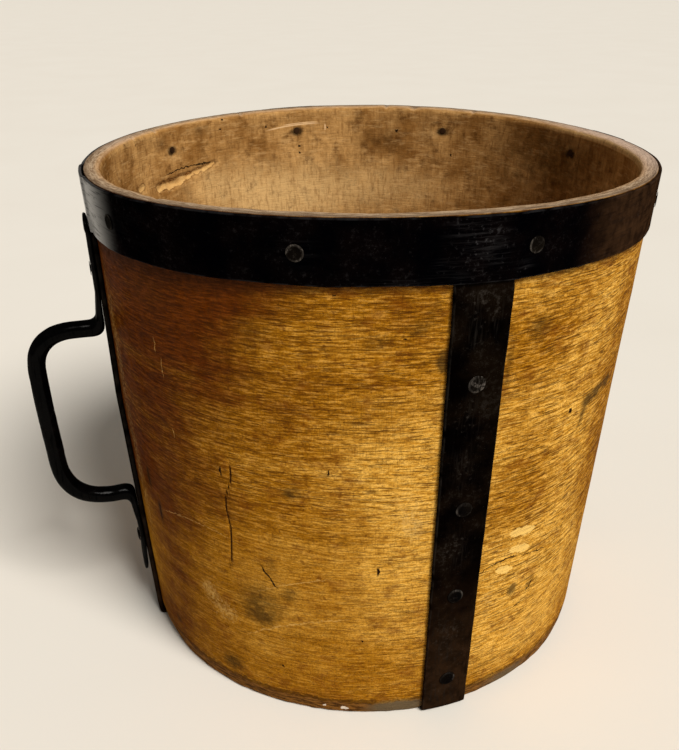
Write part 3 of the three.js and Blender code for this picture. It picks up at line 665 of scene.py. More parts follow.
def outside_colour(tree, place, along, z, grain, broken):
    """Oiled wood: fibres from dark to light gold, both browned by the patina and by painted shade on the
    side by the handle, and lighter in the front's middle partly as a painted highlight, with pale
    fibres, the rays, the scraper's ticks and pores, then blotches, pale lines, scars and rubbed spots
    with a painted sheen along the left edge, smudges with painted shadow under the band, the dirt
    beside the iron with more painted shadow under the band, cracks and cuts, a darker line above the
    bevel, and the bevel at the foot, brown, rubbed grey or chipped."""
    slow = cloud(place, 24.0, 4.0, 0.6)
    # patina, with painted shade by the handle and a painted highlight in the front's middle
    patina_light_and_shade = scaled(slow, 0.6, layer(tree, "patina_light_and_shade"))
    patina_light_and_shade = scaled(grain["Streak"], 0.14, patina_light_and_shade)
    worn, deep = ramp(patina_light_and_shade, 0.45, 0.9), ramp(patina_light_and_shade, 0.8, 1.3)
    fibres = (LIGHT_FIBRES, DARK_FIBRES)
    light, dark = (paint(deep, paint(worn, fresh, aged), browned) for fresh, aged, browned in fibres)
    clear = layer(tree, "clear")
    lifted = scaled(less(grain["Fibre"], 0.5), clear, 0.5)
    gold = paint(lifted, dark, light)
    bright = scaled(deep, -0.24, 0.26)
    gold = paint(times(ramp(grain["Fibre"], 0.62, 1.0), clear, bright), gold, (230, 182, 106))
    gold = paint(times(grain["Fleck"], clear, 0.75), gold, (60, 27, 4))
    gold = paint(times(grain["Tick"], clear, 0.3), gold, (90, 54, 10))
    gold = paint(times(grain["Pore"], 0.38), gold, (64, 32, 4))
    blotch = combed(place, (80, 80, 115), 5.0, 0.7)
    gold = laid(gold, blotch, 0.5, 0.68, 0.5, (104, 50, 6))
    spot = cloud(place, 260.0, 3.0, 0.6)
    gold = laid(gold, spot, 0.6, 0.7, 0.45, (82, 36, 4))
    fine = cloud(place, 560.0, 4.0, 0.7)
    line = times(strokes(along, z, PALE_LINES), ramp(fine, 0.35, 0.6, 0.15, 0.75))
    gold = paint(line, gold, (206, 160, 86))
    scar = times(strokes(along, z, SCARS, oval), scaled(broken, 0.8, 0.6))
    gold = laid(gold, scar, 0.2, 0.4, 0.75, (244, 202, 114))
    # pale worn spots, with the painted sheen along the left edge
    pale = times(layer(tree, "pale"), scaled(fine, 3.0, -0.6))
    gold = laid(gold, pale, 0.25, 0.75, 0.6, (218, 176, 100))
    # smudges, with painted shadow under the band on the left
    smudge_and_shadow = times(layer(tree, "smudge_and_shadow"), scaled(broken, 1.6, 0.1))
    gold = laid(gold, smudge_and_shadow, 0.1, 0.9, 0.8, (56, 38, 14))
    # dirt beside the straps, and painted shadow under the band
    grime_and_shadow = times(layer(tree, "grime_and_shadow"), scaled(broken, 1.2, 0.15))
    gold = laid(gold, grime_and_shadow, 0.1, 0.9, 0.8, (46, 22, 6))
    gold = paint(strokes(along, z, OUTER_CUTS), gold, (34, 16, 4))
    foot = calc("ADD", z, scaled(broken, 0.005, -0.0025))
    # a darker line just above the bevel
    gold = paint(ramp(foot, *FOOT_DARK_LINE, 0.6, 0.0), gold, (40, 22, 6))
    rubbed = paint(grain["Fibre"], (66, 40, 14), (138, 92, 40))
    rubbed = paint(ramp(layer(tree, "pale"), 0.1, 0.8), rubbed, (96, 82, 62))
    gold = paint(ramp(foot, *FOOT_RUB, 0.9, 0.0), gold, rubbed)
    return paint(ramp(strokes(along, z, FOOT_CHIPS, oval), 0.2, 0.5), gold, (222, 208, 190))


def inside_colour(tree, place, along, z, grain, broken, straight):
    """Dry wood: brown and golden in clouds and spots, scraped and combed down the wall over a faint
    grain and pale wisps, with pale spots and painted light at the back, smudges, the stains of the
    rivets, pale scratches, worm holes, a painted shadow under the gouge's top edge, and light
    splintery wood, dark along its edges, where it is gouged."""
    slow = cloud(place, 34.0, 5.0, 0.65)
    spots = cloud(place, 130.0, 4.0, 0.65)
    scrape = combed(straight, (160, 34, 60), 5.0, 0.68)
    dry = paint(ramp(slow, 0.32, 0.68), (206, 158, 96), (144, 98, 46))
    dry = laid(dry, spots, 0.42, 0.75, 0.65, (104, 66, 24))
    dry = laid(dry, scrape, 0.4, 0.7, 0.45, (100, 64, 26))
    dry = paint(times(grain["Fibre"], 0.08), dry, (226, 178, 110))
    dry = paint(times(grain["Fleck"], 0.07), dry, (84, 52, 24))
    # pale spots, with the painted light inside at the back
    pale = times(layer(tree, "pale"), scaled(spots, 1.0, 0.4))
    dry = laid(dry, pale, 0.1, 0.9, 0.7, (232, 192, 130))
    patch = combed(straight, (300, 260, 260), 5.0, 0.72)
    dry = laid(dry, patch, 0.5, 0.7, 0.35, (122, 80, 36))
    comb = combed(straight, (620, 100, 200), 4.0, 0.7)
    dry = laid(dry, comb, 0.47, 0.7, 0.5, (116, 74, 32))
    wisp = combed(straight, (110, 420, -420), 4.0, 0.65)
    dry = laid(dry, wisp, 0.5, 0.68, 0.28, (236, 192, 130))
    smudge_and_shadow = times(layer(tree, "smudge_and_shadow"), scaled(broken, 1.6, 0.1))
    dry = laid(dry, smudge_and_shadow, 0.1, 0.9, 0.75, (64, 42, 20))
    stain = times(layer(tree, "stain"), scaled(broken, 1.4, 0.3))
    dry = laid(dry, stain, 0.2, 0.75, 0.9, (40, 28, 16))
    even = parted(straight)
    dry = paint(times(strokes(even["X"], even["Y"], INNER_LINES), 0.8), dry, (240, 200, 150))
    # worm holes and cuts, with the painted shadow under the gouge's top edge
    dry = paint(strokes(along, z, INNER_CUTS_AND_SHADOW), dry, (30, 18, 8))
    ragged = scaled(less(spots, 0.5), 1.6, layer(tree, "bare"))
    dry = laid(dry, ragged, 0.10, 0.34, 0.45, (86, 52, 22))
    fresh = paint(broken, (232, 190, 124), (176, 126, 64))
    return paint(ramp(ragged, 0.34, 0.5), dry, fresh)


def rim_colour(tree, grain, broken, depth):
    """Worn end of the board: pale grey-pink wood with dark broken lines, darker along its outer edge
    beside the band, tan along the inner lip and paler where the rim's own soft spots are."""
    top = paint(grain["Fibre"], (134, 108, 82), (188, 163, 134))
    top = laid(top, broken, 0.5, 0.8, 0.55, (116, 92, 74))
    # darker along the rim's outer edge beside the band
    top = paint(ramp(depth, *RIM_DARK_EDGE, 0.6, 0.0), top, (92, 74, 58))
    top = laid(top, depth, *RIM_TAN, 0.5, (206, 158, 104))
    return paint(ramp(layer(tree, "pale"), 0.1, 0.9, 0.0, 0.5), top, (214, 188, 172))


def wall_finish():
    """Oiled beech outside, rubbed grey wood on the rim and the bottom bevel, dry wood inside."""
    made, tree, shader = material("oiled_beech", specular=0.0)
    place, along, z = straightened(tree)
    depth = layer(tree, "depth")
    straight = add(tree, "ShaderNodeCombineXYZ", {"X": along, "Y": z, "Z": depth}).outputs[0]
    grain = grown(tree, straight)
    broken = cloud(place, 210.0, 4.0, 0.65)
    ragged = cloud(place, 330.0, 3.0, 0.6)
    along = scaled(less(broken, 0.5), 0.004, along)
    z = scaled(less(ragged, 0.5), 0.004, z)
    inner = layer(tree, "inner")
    oiled = outside_colour(tree, place, along, z, grain, broken)
    dry = inside_colour(tree, place, along, z, grain, broken, straight)
    colour = paint(inner, oiled, dry)
    colour = paint(layer(tree, "rim"), colour, rim_colour(tree, grain, broken, depth))
    colour = paint(ramp(layer(tree, "split"), 0.45, 0.9), colour, (44, 20, 6))
    dull = calc("MAXIMUM", inner, layer(tree, "rim"))
    rough = scaled(broken, 0.16, scaled(grain["Fleck"], 0.12, 0.4))
    gloss = ramp(calc("ADD", dull, broken), 0.4, 0.9, 0.06, 0.0)
    shader.inputs["Coat Roughness"].default_value = 0.35
    grown_relief = times(grain["Height"], scaled(inner, -0.6, 1.0))
    relief = scaled(broken, 0.5, grown_relief)
    bump = bumped(relief, 0.75, 0.0005)
    dry_rough = scaled(dull, 0.3, rough)
    feed(shader, {"Base Color": colour, "Roughness": dry_rough, "Coat Weight": gloss, "Normal": bump})
    return made


fit(wall_piece(), wall_finish(), "bentwood_wall")


# Base board: a round of beech, its edge cut to the wall's taper, dropped in from above until it
# wedges. Its top is dusty and worn by the grain shovel, and its underside is housed for the feet.

BASE_BOARD = 15.0
BASE_TURNS = 240
BASE_HOLLOW = 0.5
FOOT_HOUSING = (12.7, 13.4)
DUST_SPAN = (0.118, 0.142)
FOOT_END = BASE_RADIUS - 36.0


def base_rings():
    """Disc as rings about its middle: out along the underside, up the tapered edge and back in over
    the top, which is hollowed a little and shows the plane's strokes."""
    turn = np.linspace(-180, 180, BASE_TURNS, endpoint=False)[None, :]
    edge_low, edge_high = wood_radius(0) - WALL - GAP, wood_radius(BASE_BOARD) - WALL - GAP
    spans = np.concatenate([np.linspace(4, 92, 12), np.linspace(95, edge_low, 22)])
    under = around(turn, spans[:, None], 0.0)
    for angle in STRAP_ANGLES.values():
        out = np.array([math.cos(math.radians(angle)), math.sin(math.radians(angle))])
        reach = under[..., :2] @ out
        beside = np.abs(under[..., :2] @ np.array([-out[1], out[0]]))
        slot = ease(reach, FOOT_END - 0.8, FOOT_END - 0.2) * (1 - ease(beside, *FOOT_HOUSING))
        under[..., 2] = np.maximum(under[..., 2], HOUSING_DEPTH * slot)
    spans = np.concatenate([[edge_high], np.linspace(edge_high - 1, 4, 44)])
    top = around(turn, spans[:, None], BASE_BOARD)
    planed = mottle(top[..., 0] / 300 + 0.5, top[..., 1] / 300 + 0.5, (6, 34), 41)
    hollow = BASE_HOLLOW * (1 - (np.hypot(top[..., 0], top[..., 1]) / edge_high) ** 2)
    top[..., 2] -= 0.25 + 0.15 * planed + hollow
    return np.concatenate([under, top])


def base_finish():
    """Dry beech with its grain straight across, greyed by dust that gathers along the wall."""
    made, tree, shader = material("bare_beech", specular=0.25)
    place = own_place(tree)
    grain = grown(tree, place)
    broad = cloud(place, 22.0, 4.0, 0.6)
    broken = cloud(place, 240.0, 4.0, 0.65)
    colour = paint(grain["Streak"], (168, 128, 80), (120, 84, 48))
    colour = paint(times(grain["Fibre"], 0.3), colour, (190, 152, 104))
    colour = paint(times(grain["Fleck"], 0.5), colour, (70, 44, 22))
    colour = laid(colour, broad, 0.4, 0.75, 0.6, (92, 72, 50))
    flat = stretch(place, (1, 1, 0))
    radius = add(tree, "ShaderNodeVectorMath", {0: flat}, operation="LENGTH").outputs["Value"]
    dust = ramp(scaled(broken, 0.03, radius), *DUST_SPAN, 0.0, 0.7)
    colour = paint(dust, colour, (132, 112, 88))
    rough = scaled(broken, 0.2, 0.62)
    relief = scaled(broken, 0.6, grain["Height"])
    bump = bumped(relief, 0.7, 0.0006)
    feed(shader, {"Base Color": colour, "Roughness": rough, "Normal": bump})
    return made


fit(skin("base", settled(base_rings()), {}), base_finish(), "base_board")


# Straps: four flat bars of forged iron, blacked, thinned to a tongue under the band, laid down the wall
# and turned under the base at the foot. Three are riveted through the wall and the fourth carries the
# handle.

STRAP_TOP = HEIGHT - 3.0
STRAP_TONGUE = 0.6
TONGUE_TAPER = 1.5
STRAP_BEND = 1.0
STRAP_CORNER = 0.6
STRAP_STEP = GAP + STRAP_THICKNESS
STRAP_BEATEN = 0.10
STRAP_WAVER = 0.15
STRAP_SEED = 50
STRAP_STATIONS = 100
FOOT_RUST = 0.4
FOOT_RUST_FADE = (15, 110)
LEAF_WIDTH = 20.0
TONGUE_STEP = GAP + STRAP_TONGUE
# angle, height, half length, half height and strength of each rubbed spot on the iron
STRAP_RUBS = [
    (-91.3, 240, 5, 4, 0.7), (-90.4, 226, 6, 8, 0.6), (-87.4, 232, 2, 9, 0.5), (-90.6, 182, 5, 9, 0.5),
    (-91.0, 156, 6, 12, 0.45), (-90.6, 109, 7, 12, 0.5), (-90.9, 50, 8, 20, 0.6),
    (-91.4, 15, 9, 10, 0.8), (0.5, 60, 7, 25, 0.6), (89, 120, 7, 25, 0.6), (180, 20, 8, 10, 0.7),
]


def flat_section(width, corner):
    """Ring of a flat bar of unit thickness with rounded corners: places across it from one edge to the
    other and shares of its thickness from the inner face, along the outer face and back along the
    inner, with a value that is 1 on the corners and 0 on the flats."""
    quarter = np.linspace(0, np.pi / 2, 5)
    half = width / 2
    run = np.concatenate([[half - corner - 0.3], np.linspace(half - 2, 2 - half, 9), [0.3 + corner - half]])
    rise = np.stack([half - corner * (1 - np.cos(quarter)), 1 - 0.3 * (1 - np.sin(quarter))], -1)
    outer = np.concatenate([rise, np.stack([run, np.ones(len(run))], -1), rise[::-1] * [-1, 1]])
    inner = np.stack([outer[::-1, 0], 1 - outer[::-1, 1]], -1)
    on_corner = np.concatenate([np.ones(5), np.zeros(len(run)), np.ones(5)])
    return np.concatenate([outer, inner]), np.concatenate([on_corner, on_corner])


def strap_rings(angle, seed):
    """Flat section carried down the wall, round the bend and inwards along the foot. Each station has a
    radius, a height and a tip angle; the section is bowed to the wood's own radius there, its face is
    beaten by a noise, less under the handle's leaves, and its edges waver. Its rubbed spots come
    second, its corners third, and the rust, which has crept up from the foot, last."""
    bend_top = STRAP_THICKNESS + STRAP_BEND
    centre = wood_radius(bend_top) + GAP - STRAP_BEND
    z = np.linspace(STRAP_TOP, bend_top, STRAP_STATIONS)
    tip = np.linspace(0, np.pi / 2, 7)[1:]
    foot = np.linspace(centre, FOOT_END, 12)[1:]
    radius = np.concatenate([wood_radius(z) + GAP, centre + STRAP_BEND * np.cos(tip), foot])[:, None]
    lying = np.full(len(foot), STRAP_THICKNESS)
    level = np.concatenate([z, bend_top - STRAP_BEND * np.sin(tip), lying])[:, None]
    tips = np.concatenate([np.zeros(len(z)), tip, np.full(len(foot), np.pi / 2)])[:, None]
    length = (STRAP_TOP - level + (radius[-len(foot) - 1] - radius) * (tips > 1.5)) / 350
    full = np.clip((PRESS_HEAD - level) / TONGUE_TAPER, 0, 1)
    thick = STRAP_TONGUE + (STRAP_THICKNESS - STRAP_TONGUE) * full
    section, corner = flat_section(STRAP_TOP_WIDTH, STRAP_CORNER)
    across = section[None, :, 0] * strap_half_width(level) * 2 / STRAP_TOP_WIDTH
    side = np.sign(across)
    across = across - side * STRAP_WAVER * (1 + mottle(length, side * 0.25 + 0.25, (38, 2), seed))
    outer = section[None, :, 1] > 0.5
    beaten = STRAP_BEATEN * (1 + mottle(length, across / 60 + 0.5, (42, 8), seed + 1))
    beaten = beaten * ease(thick, STRAP_TONGUE, STRAP_THICKNESS)
    leaf = (angle == STRAP_ANGLES["handle_side"]) * (np.abs(across) < LEAF_WIDTH / 2)
    beaten = beaten * outer * (1 - 0.8 * leaf)
    inside = SEAT - GAP
    depth = inside + section[None, :, 1] * (thick - inside) - beaten
    bow = wood_radius(level)
    points = around(np.degrees(across / bow), bow, level - depth * np.sin(tips))
    points[..., 0] += radius + depth * np.cos(tips) - bow
    turn = np.degrees(np.arctan2(points[..., 1], points[..., 0])) + angle
    rub_and_glint = blots(turn, level, STRAP_RUBS)
    rust = FOOT_RUST * (1 - ease(level, *FOOT_RUST_FADE))
    rings = around(turn, np.hypot(points[..., 0], points[..., 1]), points[..., 2])
    return rings, rub_and_glint, corner[None, :], rust


def forged_skin():
    """Skin of forged and blacked iron on a place in metres: slow clouds, torn scuffs, small specks,
    streaks drawn out up the iron and the low dimples of the hammer, each a noise cut at a level."""
    tree, place, leave = group("forged skin", ["Cloud", "Scuff", "Speck", "Streak", "Height"])
    slow = cloud(place, 55.0, 4.0, 0.6)
    torn = cloud(place, 420.0, 6.0, 0.72)
    dot = cloud(place, 1500.0, 2.0, 0.5)
    drawn = combed(place, (900, 900, 60), 4.0, 0.65)
    dimple = cloud(place, 150.0, 2.0, 0.5)
    named = {
        "Cloud": slow,
        "Scuff": ramp(scaled(slow, 0.45, torn), 0.76, 0.98),
        "Speck": ramp(scaled(slow, 0.25, dot), 0.80, 0.90),
        "Streak": ramp(drawn, 0.45, 0.8),
        "Height": scaled(torn, 0.35, dimple),
    }
    feed(leave, named)
    return tree


FORGED_SKIN = forged_skin()


# rust, which on the band's right also stands for a painted reflection of the warm room
RUST = (54, 36, 22)


def iron_finish(name, black, brown, rub_and_glint, rub_share, polish, relief, girthwise=False):
    """Blacked iron: black going to brown in clouds, rubbed grey by scuffs, specks and streaks, along
    edges, and where its rubbed spots are, which on the rivets' rims are also painted glints, with
    broken rust, on the band also a painted reflection, and with a coat of gloss where one is left.
    Its streaks run up it, or along a band, whose length is then the third direction of the place."""
    made, tree, shader = material(name, specular=0.0)
    place = own_place(tree)
    if girthwise:
        apart = parted(place)
        along = times(calc("ARCTAN2", apart["Y"], apart["X"]), MEAN_RADIUS * MM)
        place = add(tree, "ShaderNodeCombineXYZ", {"X": apart["Z"], "Z": along}).outputs[0]
    skin_of = add(tree, "ShaderNodeGroup", {"Vector": place}, node_tree=FORGED_SKIN).outputs
    colour = paint(ramp(skin_of["Cloud"], 0.35, 0.68), black, brown)
    edge = times(layer(tree, "edge"), ramp(skin_of["Height"], 0.5, 0.85), 0.25)
    worn = calc("MAXIMUM", edge, times(skin_of["Scuff"], 0.15))
    worn = calc("MAXIMUM", worn, times(skin_of["Speck"], 0.3))
    torn = calc("MAXIMUM", times(skin_of["Streak"], 0.5), skin_of["Scuff"])
    worn = scaled(layer(tree, "rub_and_glint"), torn, worn)
    worn = times(worn, rub_share)
    pitted = ramp(skin_of["Height"], 0.45, 0.9, 0.45, 1.25)
    streaked = ramp(skin_of["Streak"], 0.0, 0.6, 1.1, 0.6)
    rusted = times(layer(tree, "rust"), times(pitted, streaked))
    colour = paint(rusted, paint(worn, colour, rub_and_glint), RUST)
    rough = scaled(worn, 0.15, scaled(skin_of["Cloud"], 0.22, 0.42))
    shader.inputs["Coat Roughness"].default_value = polish
    coat = times(layer(tree, "coat"), ramp(skin_of["Scuff"], 0.1, 0.8, 1.1, 0.2))
    coat = times(coat, ramp(skin_of["Streak"], 0.0, 0.7, 1.0, 0.35))
    bump = bumped(skin_of["Height"], 0.5, relief)
    feed(shader, {"Base Color": colour, "Roughness": rough, "Coat Weight": coat, "Normal": bump})
    return made


strap_iron = iron_finish(
    "strap_iron", black=(2, 1, 1), brown=(14, 8, 4), rub_and_glint=(90, 84, 78),
    rub_share=0.4, polish=0.3, relief=0.0004,
)
for number, (name, angle) in enumerate(STRAP_ANGLES.items()):
    rings, rub_and_glint, corner, rust = strap_rings(angle, STRAP_SEED + 4 * number)
    layers = {"edge": corner, "rub_and_glint": rub_and_glint, "rust": rust, "coat": 0.0}
    strap = skin(f"forged_strap_{name}", settled(rings), layers)
    fit(strap, strap_iron, f"strap_{name}")


# Rim band: one flat bar of blacked iron bent round the mouth, lifted over the four straps' tongues and
# lapped on itself at the rear, where a rivet goes through both ends.

BAND_THICKNESS = 1.5
BAND_CORNER = 0.5
BAND_STEP = GAP + BAND_THICKNESS
BAND_RADIUS = float(wood_radius(BAND_BOTTOM))
BAND_RAMP = math.degrees(3.0 / BAND_RADIUS)
LAP_RAMP = math.degrees(8.0 / BAND_RADIUS)
HALF_LAP = math.degrees(21.0 / BAND_RADIUS)
STRAP_HALF = math.degrees((STRAP_TOP_WIDTH / 2 + GAP) / BAND_RADIUS)
BAND_START = STRAP_ANGLES["rear"] - HALF_LAP
BAND_END = STRAP_ANGLES["rear"] + 360 + HALF_LAP
LAP_RISE = BAND_START + 360 - BAND_RAMP - LAP_RAMP
BAND_STATIONS = 760
BAND_COATED = 178.0
COATED_FADE = (14, 26)
# the band is browner towards the right: rust, and a painted reflection of the warm room
BAND_RUST_REFLECTION_ANGLE = -34.0
BAND_RUST_AND_REFLECTION = 0.72
RUST_REFLECTION_FADE = (26, 40)
BAND_BEATEN = 0.09
BAND_RUBS = [
    (-91.8, 264.8, 9, 7, 1.0), (-94.5, 270.6, 5, 3, 0.8), (-88.9, 258.7, 5, 4, 0.8),
    (-97.0, 255.7, 4, 2, 0.8), (-83.5, 252.5, 4, 2, 0.8), (-101.0, 247.8, 20, 1.2, 0.8),
    (-93.0, 252.5, 10, 2, 0.5), (-160.0, 262, 30, 14, 0.2), (-119.5, 261, 7, 6, 0.3),
    (-60, 262, 14, 8, 0.3), (30, 262, 25, 9, 0.6), (100, 258, 20, 8, 0.6),
]


def band_offset(turn):
    """Distance of the band's inner face from the wood: nothing but its seat, and a step over each
    strap's tongue and over its own first end, each taken up smoothly along a ramp."""
    offset = np.full_like(turn, SEAT)
    for angle in STRAP_ANGLES.values():
        offset += TONGUE_STEP * (1 - ease(np.abs(away(turn, angle)), STRAP_HALF, STRAP_HALF + BAND_RAMP))
    return offset + BAND_STEP * ease(turn, LAP_RISE, LAP_RISE + LAP_RAMP)


def band_rings():
    """Flat section carried along the band from its inner end to its outer end: across the section is
    up the wall, and depth is outwards from the offset. Both edges waver and the face is beaten. Rubs
    and corners come next, then the gloss left beside the handle and the rust opposite it, which also
    stands for a painted reflection of the warm room."""
    turn = np.linspace(BAND_START, BAND_END, BAND_STATIONS)[:, None]
    section, corner = flat_section(BAND_TOP - BAND_BOTTOM, BAND_CORNER)
    section, corner = section[::-1], corner[::-1]
    share = turn / 360
    half = (BAND_TOP - BAND_BOTTOM) / 2
    up = section[None, :, 0] * np.ones_like(turn)
    low_edge = 0.3 * (1 + mottle(share, 0, (34, 1), 71)) + 0.1 * (1 + mottle(share, 0, (120, 1), 72))
    high_edge = 0.1 * (1 + mottle(share, 0, (60, 1), 73))
    up = up * (1 - np.where(up < 0, low_edge, high_edge) / half)
    outer = section[None, :, 1] > 0.5
    beaten = BAND_BEATEN * (1 + mottle(share, up / 60 + 0.5, (110, 8), 74))
    thick = BAND_THICKNESS + GAP - SEAT
    z = (BAND_TOP + BAND_BOTTOM) / 2 + up
    radius = wood_radius(z) + band_offset(turn) + section[None, :, 1] * thick - outer * beaten
    rub_and_glint = blots(turn, z, BAND_RUBS)
    coat = 1 - ease(np.abs(away(turn, BAND_COATED)), *COATED_FADE)
    # rust and painted reflection, browner towards the right
    rust = BAND_RUST_AND_REFLECTION * (1 - ease(np.abs(away(turn, BAND_RUST_REFLECTION_ANGLE)), *RUST_REFLECTION_FADE))
    return around(turn, radius, z), rub_and_glint, corner[None, :], coat, rust


band_iron = iron_finish(
    "band_iron", black=(1, 1, 2), brown=(6, 3, 3), rub_and_glint=(100, 98, 100),
    rub_share=0.35, polish=0.3, relief=0.0004, girthwise=True,
)
rings, rub_and_glint, corner, coat, rust = band_rings()
band = skin("rim_hoop", settled(rings), {"edge": corner, "rub_and_glint": rub_and_glint, "rust": rust, "coat": coat})
fit(band, band_iron, "rim_band")


# Handle: one round bar, forged and bent hot, its two ends drawn out to flat leaves. The upper leaf
# runs up onto the band and the lower leaf lies on the strap, each held by a rivet.

BAR_RADIUS = 5.0
HANDLE_REACH = 41.0
HANDLE_TOP = BAND_BOTTOM - 55.7
HANDLE_BOTTOM = HANDLE_TOP - 105.5
UPPER_CORNER = 21.0
LOWER_CORNER = 29.0
ROOT_CREASE = 4.0
ROOT_HEEL = 7.0
ROOT_SHOULDER = 14.0
ROOT_SWELL = 1.8
LEAF_THICKNESS = 2.4
LEAF_DRAW_OUT = 20.0
LEAF_TIP_ROUND = 8.0
LEAF_TIP_SHARE = 0.4
LEAF_SQUARENESS = 5.0
LEAF_BEND = 3.0
LEAF_LIFT_LENGTH = 19.0
LEAF_LIFT = 1.2
LEAF_JOGGLE = 2.0
LEAF_ON_STRAP = STRAP_STEP + GAP
LEAF_ON_BAND = TONGUE_STEP + BAND_STEP + GAP
UPPER_TIP = BAND_BOTTOM + 6.6
LOWER_TIP = HANDLE_BOTTOM - 54.0
HAMMERED = 0.036
BAR_STEPS = 36
LYING_FADE = (8, 16)


def handle_rail(side):
    """One of the two rails between which the forging runs, the outer on side 1 and the inner on side
    -1, as a row of quadratic curves in radius and height: straight runs between the corners, whose
    middle points lie halfway, and each corner eased by a curve that starts and ends as far from it as
    the radius of its bend asks."""
    outer = side > 0
    face = LEAF_THICKNESS if outer else SEAT - GAP
    swell, root = (ROOT_SWELL, ROOT_CREASE) if outer else (0.0, ROOT_HEEL)
    bar, shoulder = side * BAR_RADIUS, BAR_RADIUS + ROOT_SHOULDER
    corners = np.array([
        (LEAF_ON_BAND + face, UPPER_TIP, 0),
        (LEAF_ON_BAND + face, PRESS_HEAD, LEAF_JOGGLE / 4),
        (LEAF_ON_STRAP + face, PRESS_HEAD - LEAF_JOGGLE, LEAF_JOGGLE / 4),
        (LEAF_ON_STRAP + face, HANDLE_TOP + shoulder, LEAF_BEND),
        (LEAF_ON_STRAP + face + swell, HANDLE_TOP + bar, root),
        (HANDLE_REACH + bar, HANDLE_TOP + bar, UPPER_CORNER + bar),
        (HANDLE_REACH + bar, HANDLE_BOTTOM - bar, LOWER_CORNER + bar),
        (LEAF_ON_STRAP + face + swell, HANDLE_BOTTOM - bar, root),
        (LEAF_ON_STRAP + face, HANDLE_BOTTOM - shoulder, LEAF_BEND),
        (LEAF_ON_STRAP + face, LOWER_TIP + LEAF_LIFT_LENGTH, LEAF_BEND),
        (LEAF_ON_STRAP + face + LEAF_LIFT, LOWER_TIP, 0),
    ])
    places = np.stack([wood_radius(corners[:, 1]) + corners[:, 0], corners[:, 1]], -1)
    curves, start = [], places[0]
    for before, corner, after, bend in zip(places, places[1:], places[2:], corners[1:, 2]):
        back = (before - corner) / np.linalg.norm(before - corner)
        onward = (after - corner) / np.linalg.norm(after - corner)
        reach = bend / math.tan(math.acos(np.clip(back @ onward, -1, 1)) / 2)
        enter, leave = corner + back * reach, corner + onward * reach
        curves += [(start, (start + enter) / 2, enter), (enter, corner, leave)]
        start = leave
    return np.array([*curves, (start, (start + places[-1]) / 2, places[-1])])


def handle_rails():
    """Points in pairs along both rails: every curve of the outer rail and its fellow on the inner are
    divided alike, into about as many parts as the longer has millimetres."""
    rails = np.stack([handle_rail(1), handle_rail(-1)])
    spans = np.linalg.norm(rails[:, :, 2] - rails[:, :, 0], axis=-1).max(0)
    found = [rails[:, 0, 0][:, None]]
    for curve, span in enumerate(spans):
        t = np.linspace(0, 1, math.ceil(span) + 2)[None, 1:, None]
        start, middle, end = (rails[:, curve, k][:, None] for k in range(3))
        found.append((1 - t) ** 2 * start + 2 * t * (1 - t) * middle + t ** 2 * end)
    return np.concatenate(found, 1)


def handle_rings():
    """Rounded section between the rails: a circle on the bar, drawn out beyond its roots to a wide flat
    leaf whose corners square up and which is bowed to the wall, and shrunk along a quarter circle to
    each tip. A noise beats the section in where it doesn't lie on the strap, and the leaves' edges
    come second."""
    outer, inner = handle_rails()
    middle, outward = (outer + inner) / 2, (outer - inner) / 2
    z = middle[:, 1:]
    flat = np.clip(np.maximum(z - HANDLE_TOP, HANDLE_BOTTOM - z) / LEAF_DRAW_OUT, 0, 1)
    tip = np.clip(np.minimum(UPPER_TIP - z, z - LOWER_TIP) / LEAF_TIP_ROUND, 0, 1)
    tip = LEAF_TIP_SHARE + (1 - LEAF_TIP_SHARE) * np.sqrt(tip * (2 - tip))
    power = 2 / (2 + (LEAF_SQUARENESS - 2) * flat)
    turn = ((np.arange(BAR_STEPS) + 0.5) * 2 * np.pi / BAR_STEPS)[None, :]
    cosine, sine = np.cos(turn), np.sin(turn)
    share = np.linspace(0, 1, len(z))[:, None]
    hammered = HAMMERED + 0.02 * (1 + mottle(share, turn / (2 * np.pi), (64, 7), 81))
    lying = (sine < 0) * (1 - ease(middle[:, :1] - wood_radius(z), *LYING_FADE))
    beaten = tip * (1 - hammered)
    half_width = BAR_RADIUS + (LEAF_WIDTH / 2 - BAR_RADIUS) * flat
    across = half_width * np.sign(cosine) * np.abs(cosine) ** power * beaten
    out = np.sign(sine) * np.abs(sine) ** power * tip * (1 - hammered * (1 - lying))
    height = z + outward[:, 1:] * out
    radius = middle[:, :1] + outward[:, :1] * out - flat * across ** 2 / (2 * wood_radius(height))
    edge = flat * ease(np.abs(cosine), 0.85, 1.0)
    return np.stack([-radius, -across, height], -1), edge


handle_iron = iron_finish(
    "handle_iron", black=(1, 1, 1), brown=(4, 3, 3), rub_and_glint=(80, 78, 76),
    rub_share=0.25, polish=0.16, relief=0.0005,
)
rings, edge = handle_rings()
handle = skin("forged_handle", settled(rings), {"edge": edge, "rub_and_glint": 0.0, "coat": 0.07})
fit(handle, handle_iron, "handle")


# Rivets: short iron pins driven from outside through iron and wood, clenched inside the wall. Their
# low heads are beaten down by hand, so no two are quite alike, and their rims are rubbed bright, in
# arcs that also stand for painted glints of the light.

SHANK_RADIUS = 2.0
CLENCH_RADIUS = 2.1
CLENCH_HEIGHT = 0.15
HEAD_EDGE = 0.15
HEAD_UNDERCUT = 0.4
STRAP_HEAD = (4.4, 1.1)
BAND_HEAD = (4.0, 0.4)
LEAN = math.atan(TAPER)
UPPER_RIVET_HEIGHT = BAND_BOTTOM - 22.0
LOWER_RIVET_HEIGHT = HANDLE_BOTTOM - 31.0
SCUFFED_RIVET = "strap_front_rivet_4"
RIVET_SEED = 100
RIVET_STEPS = 28


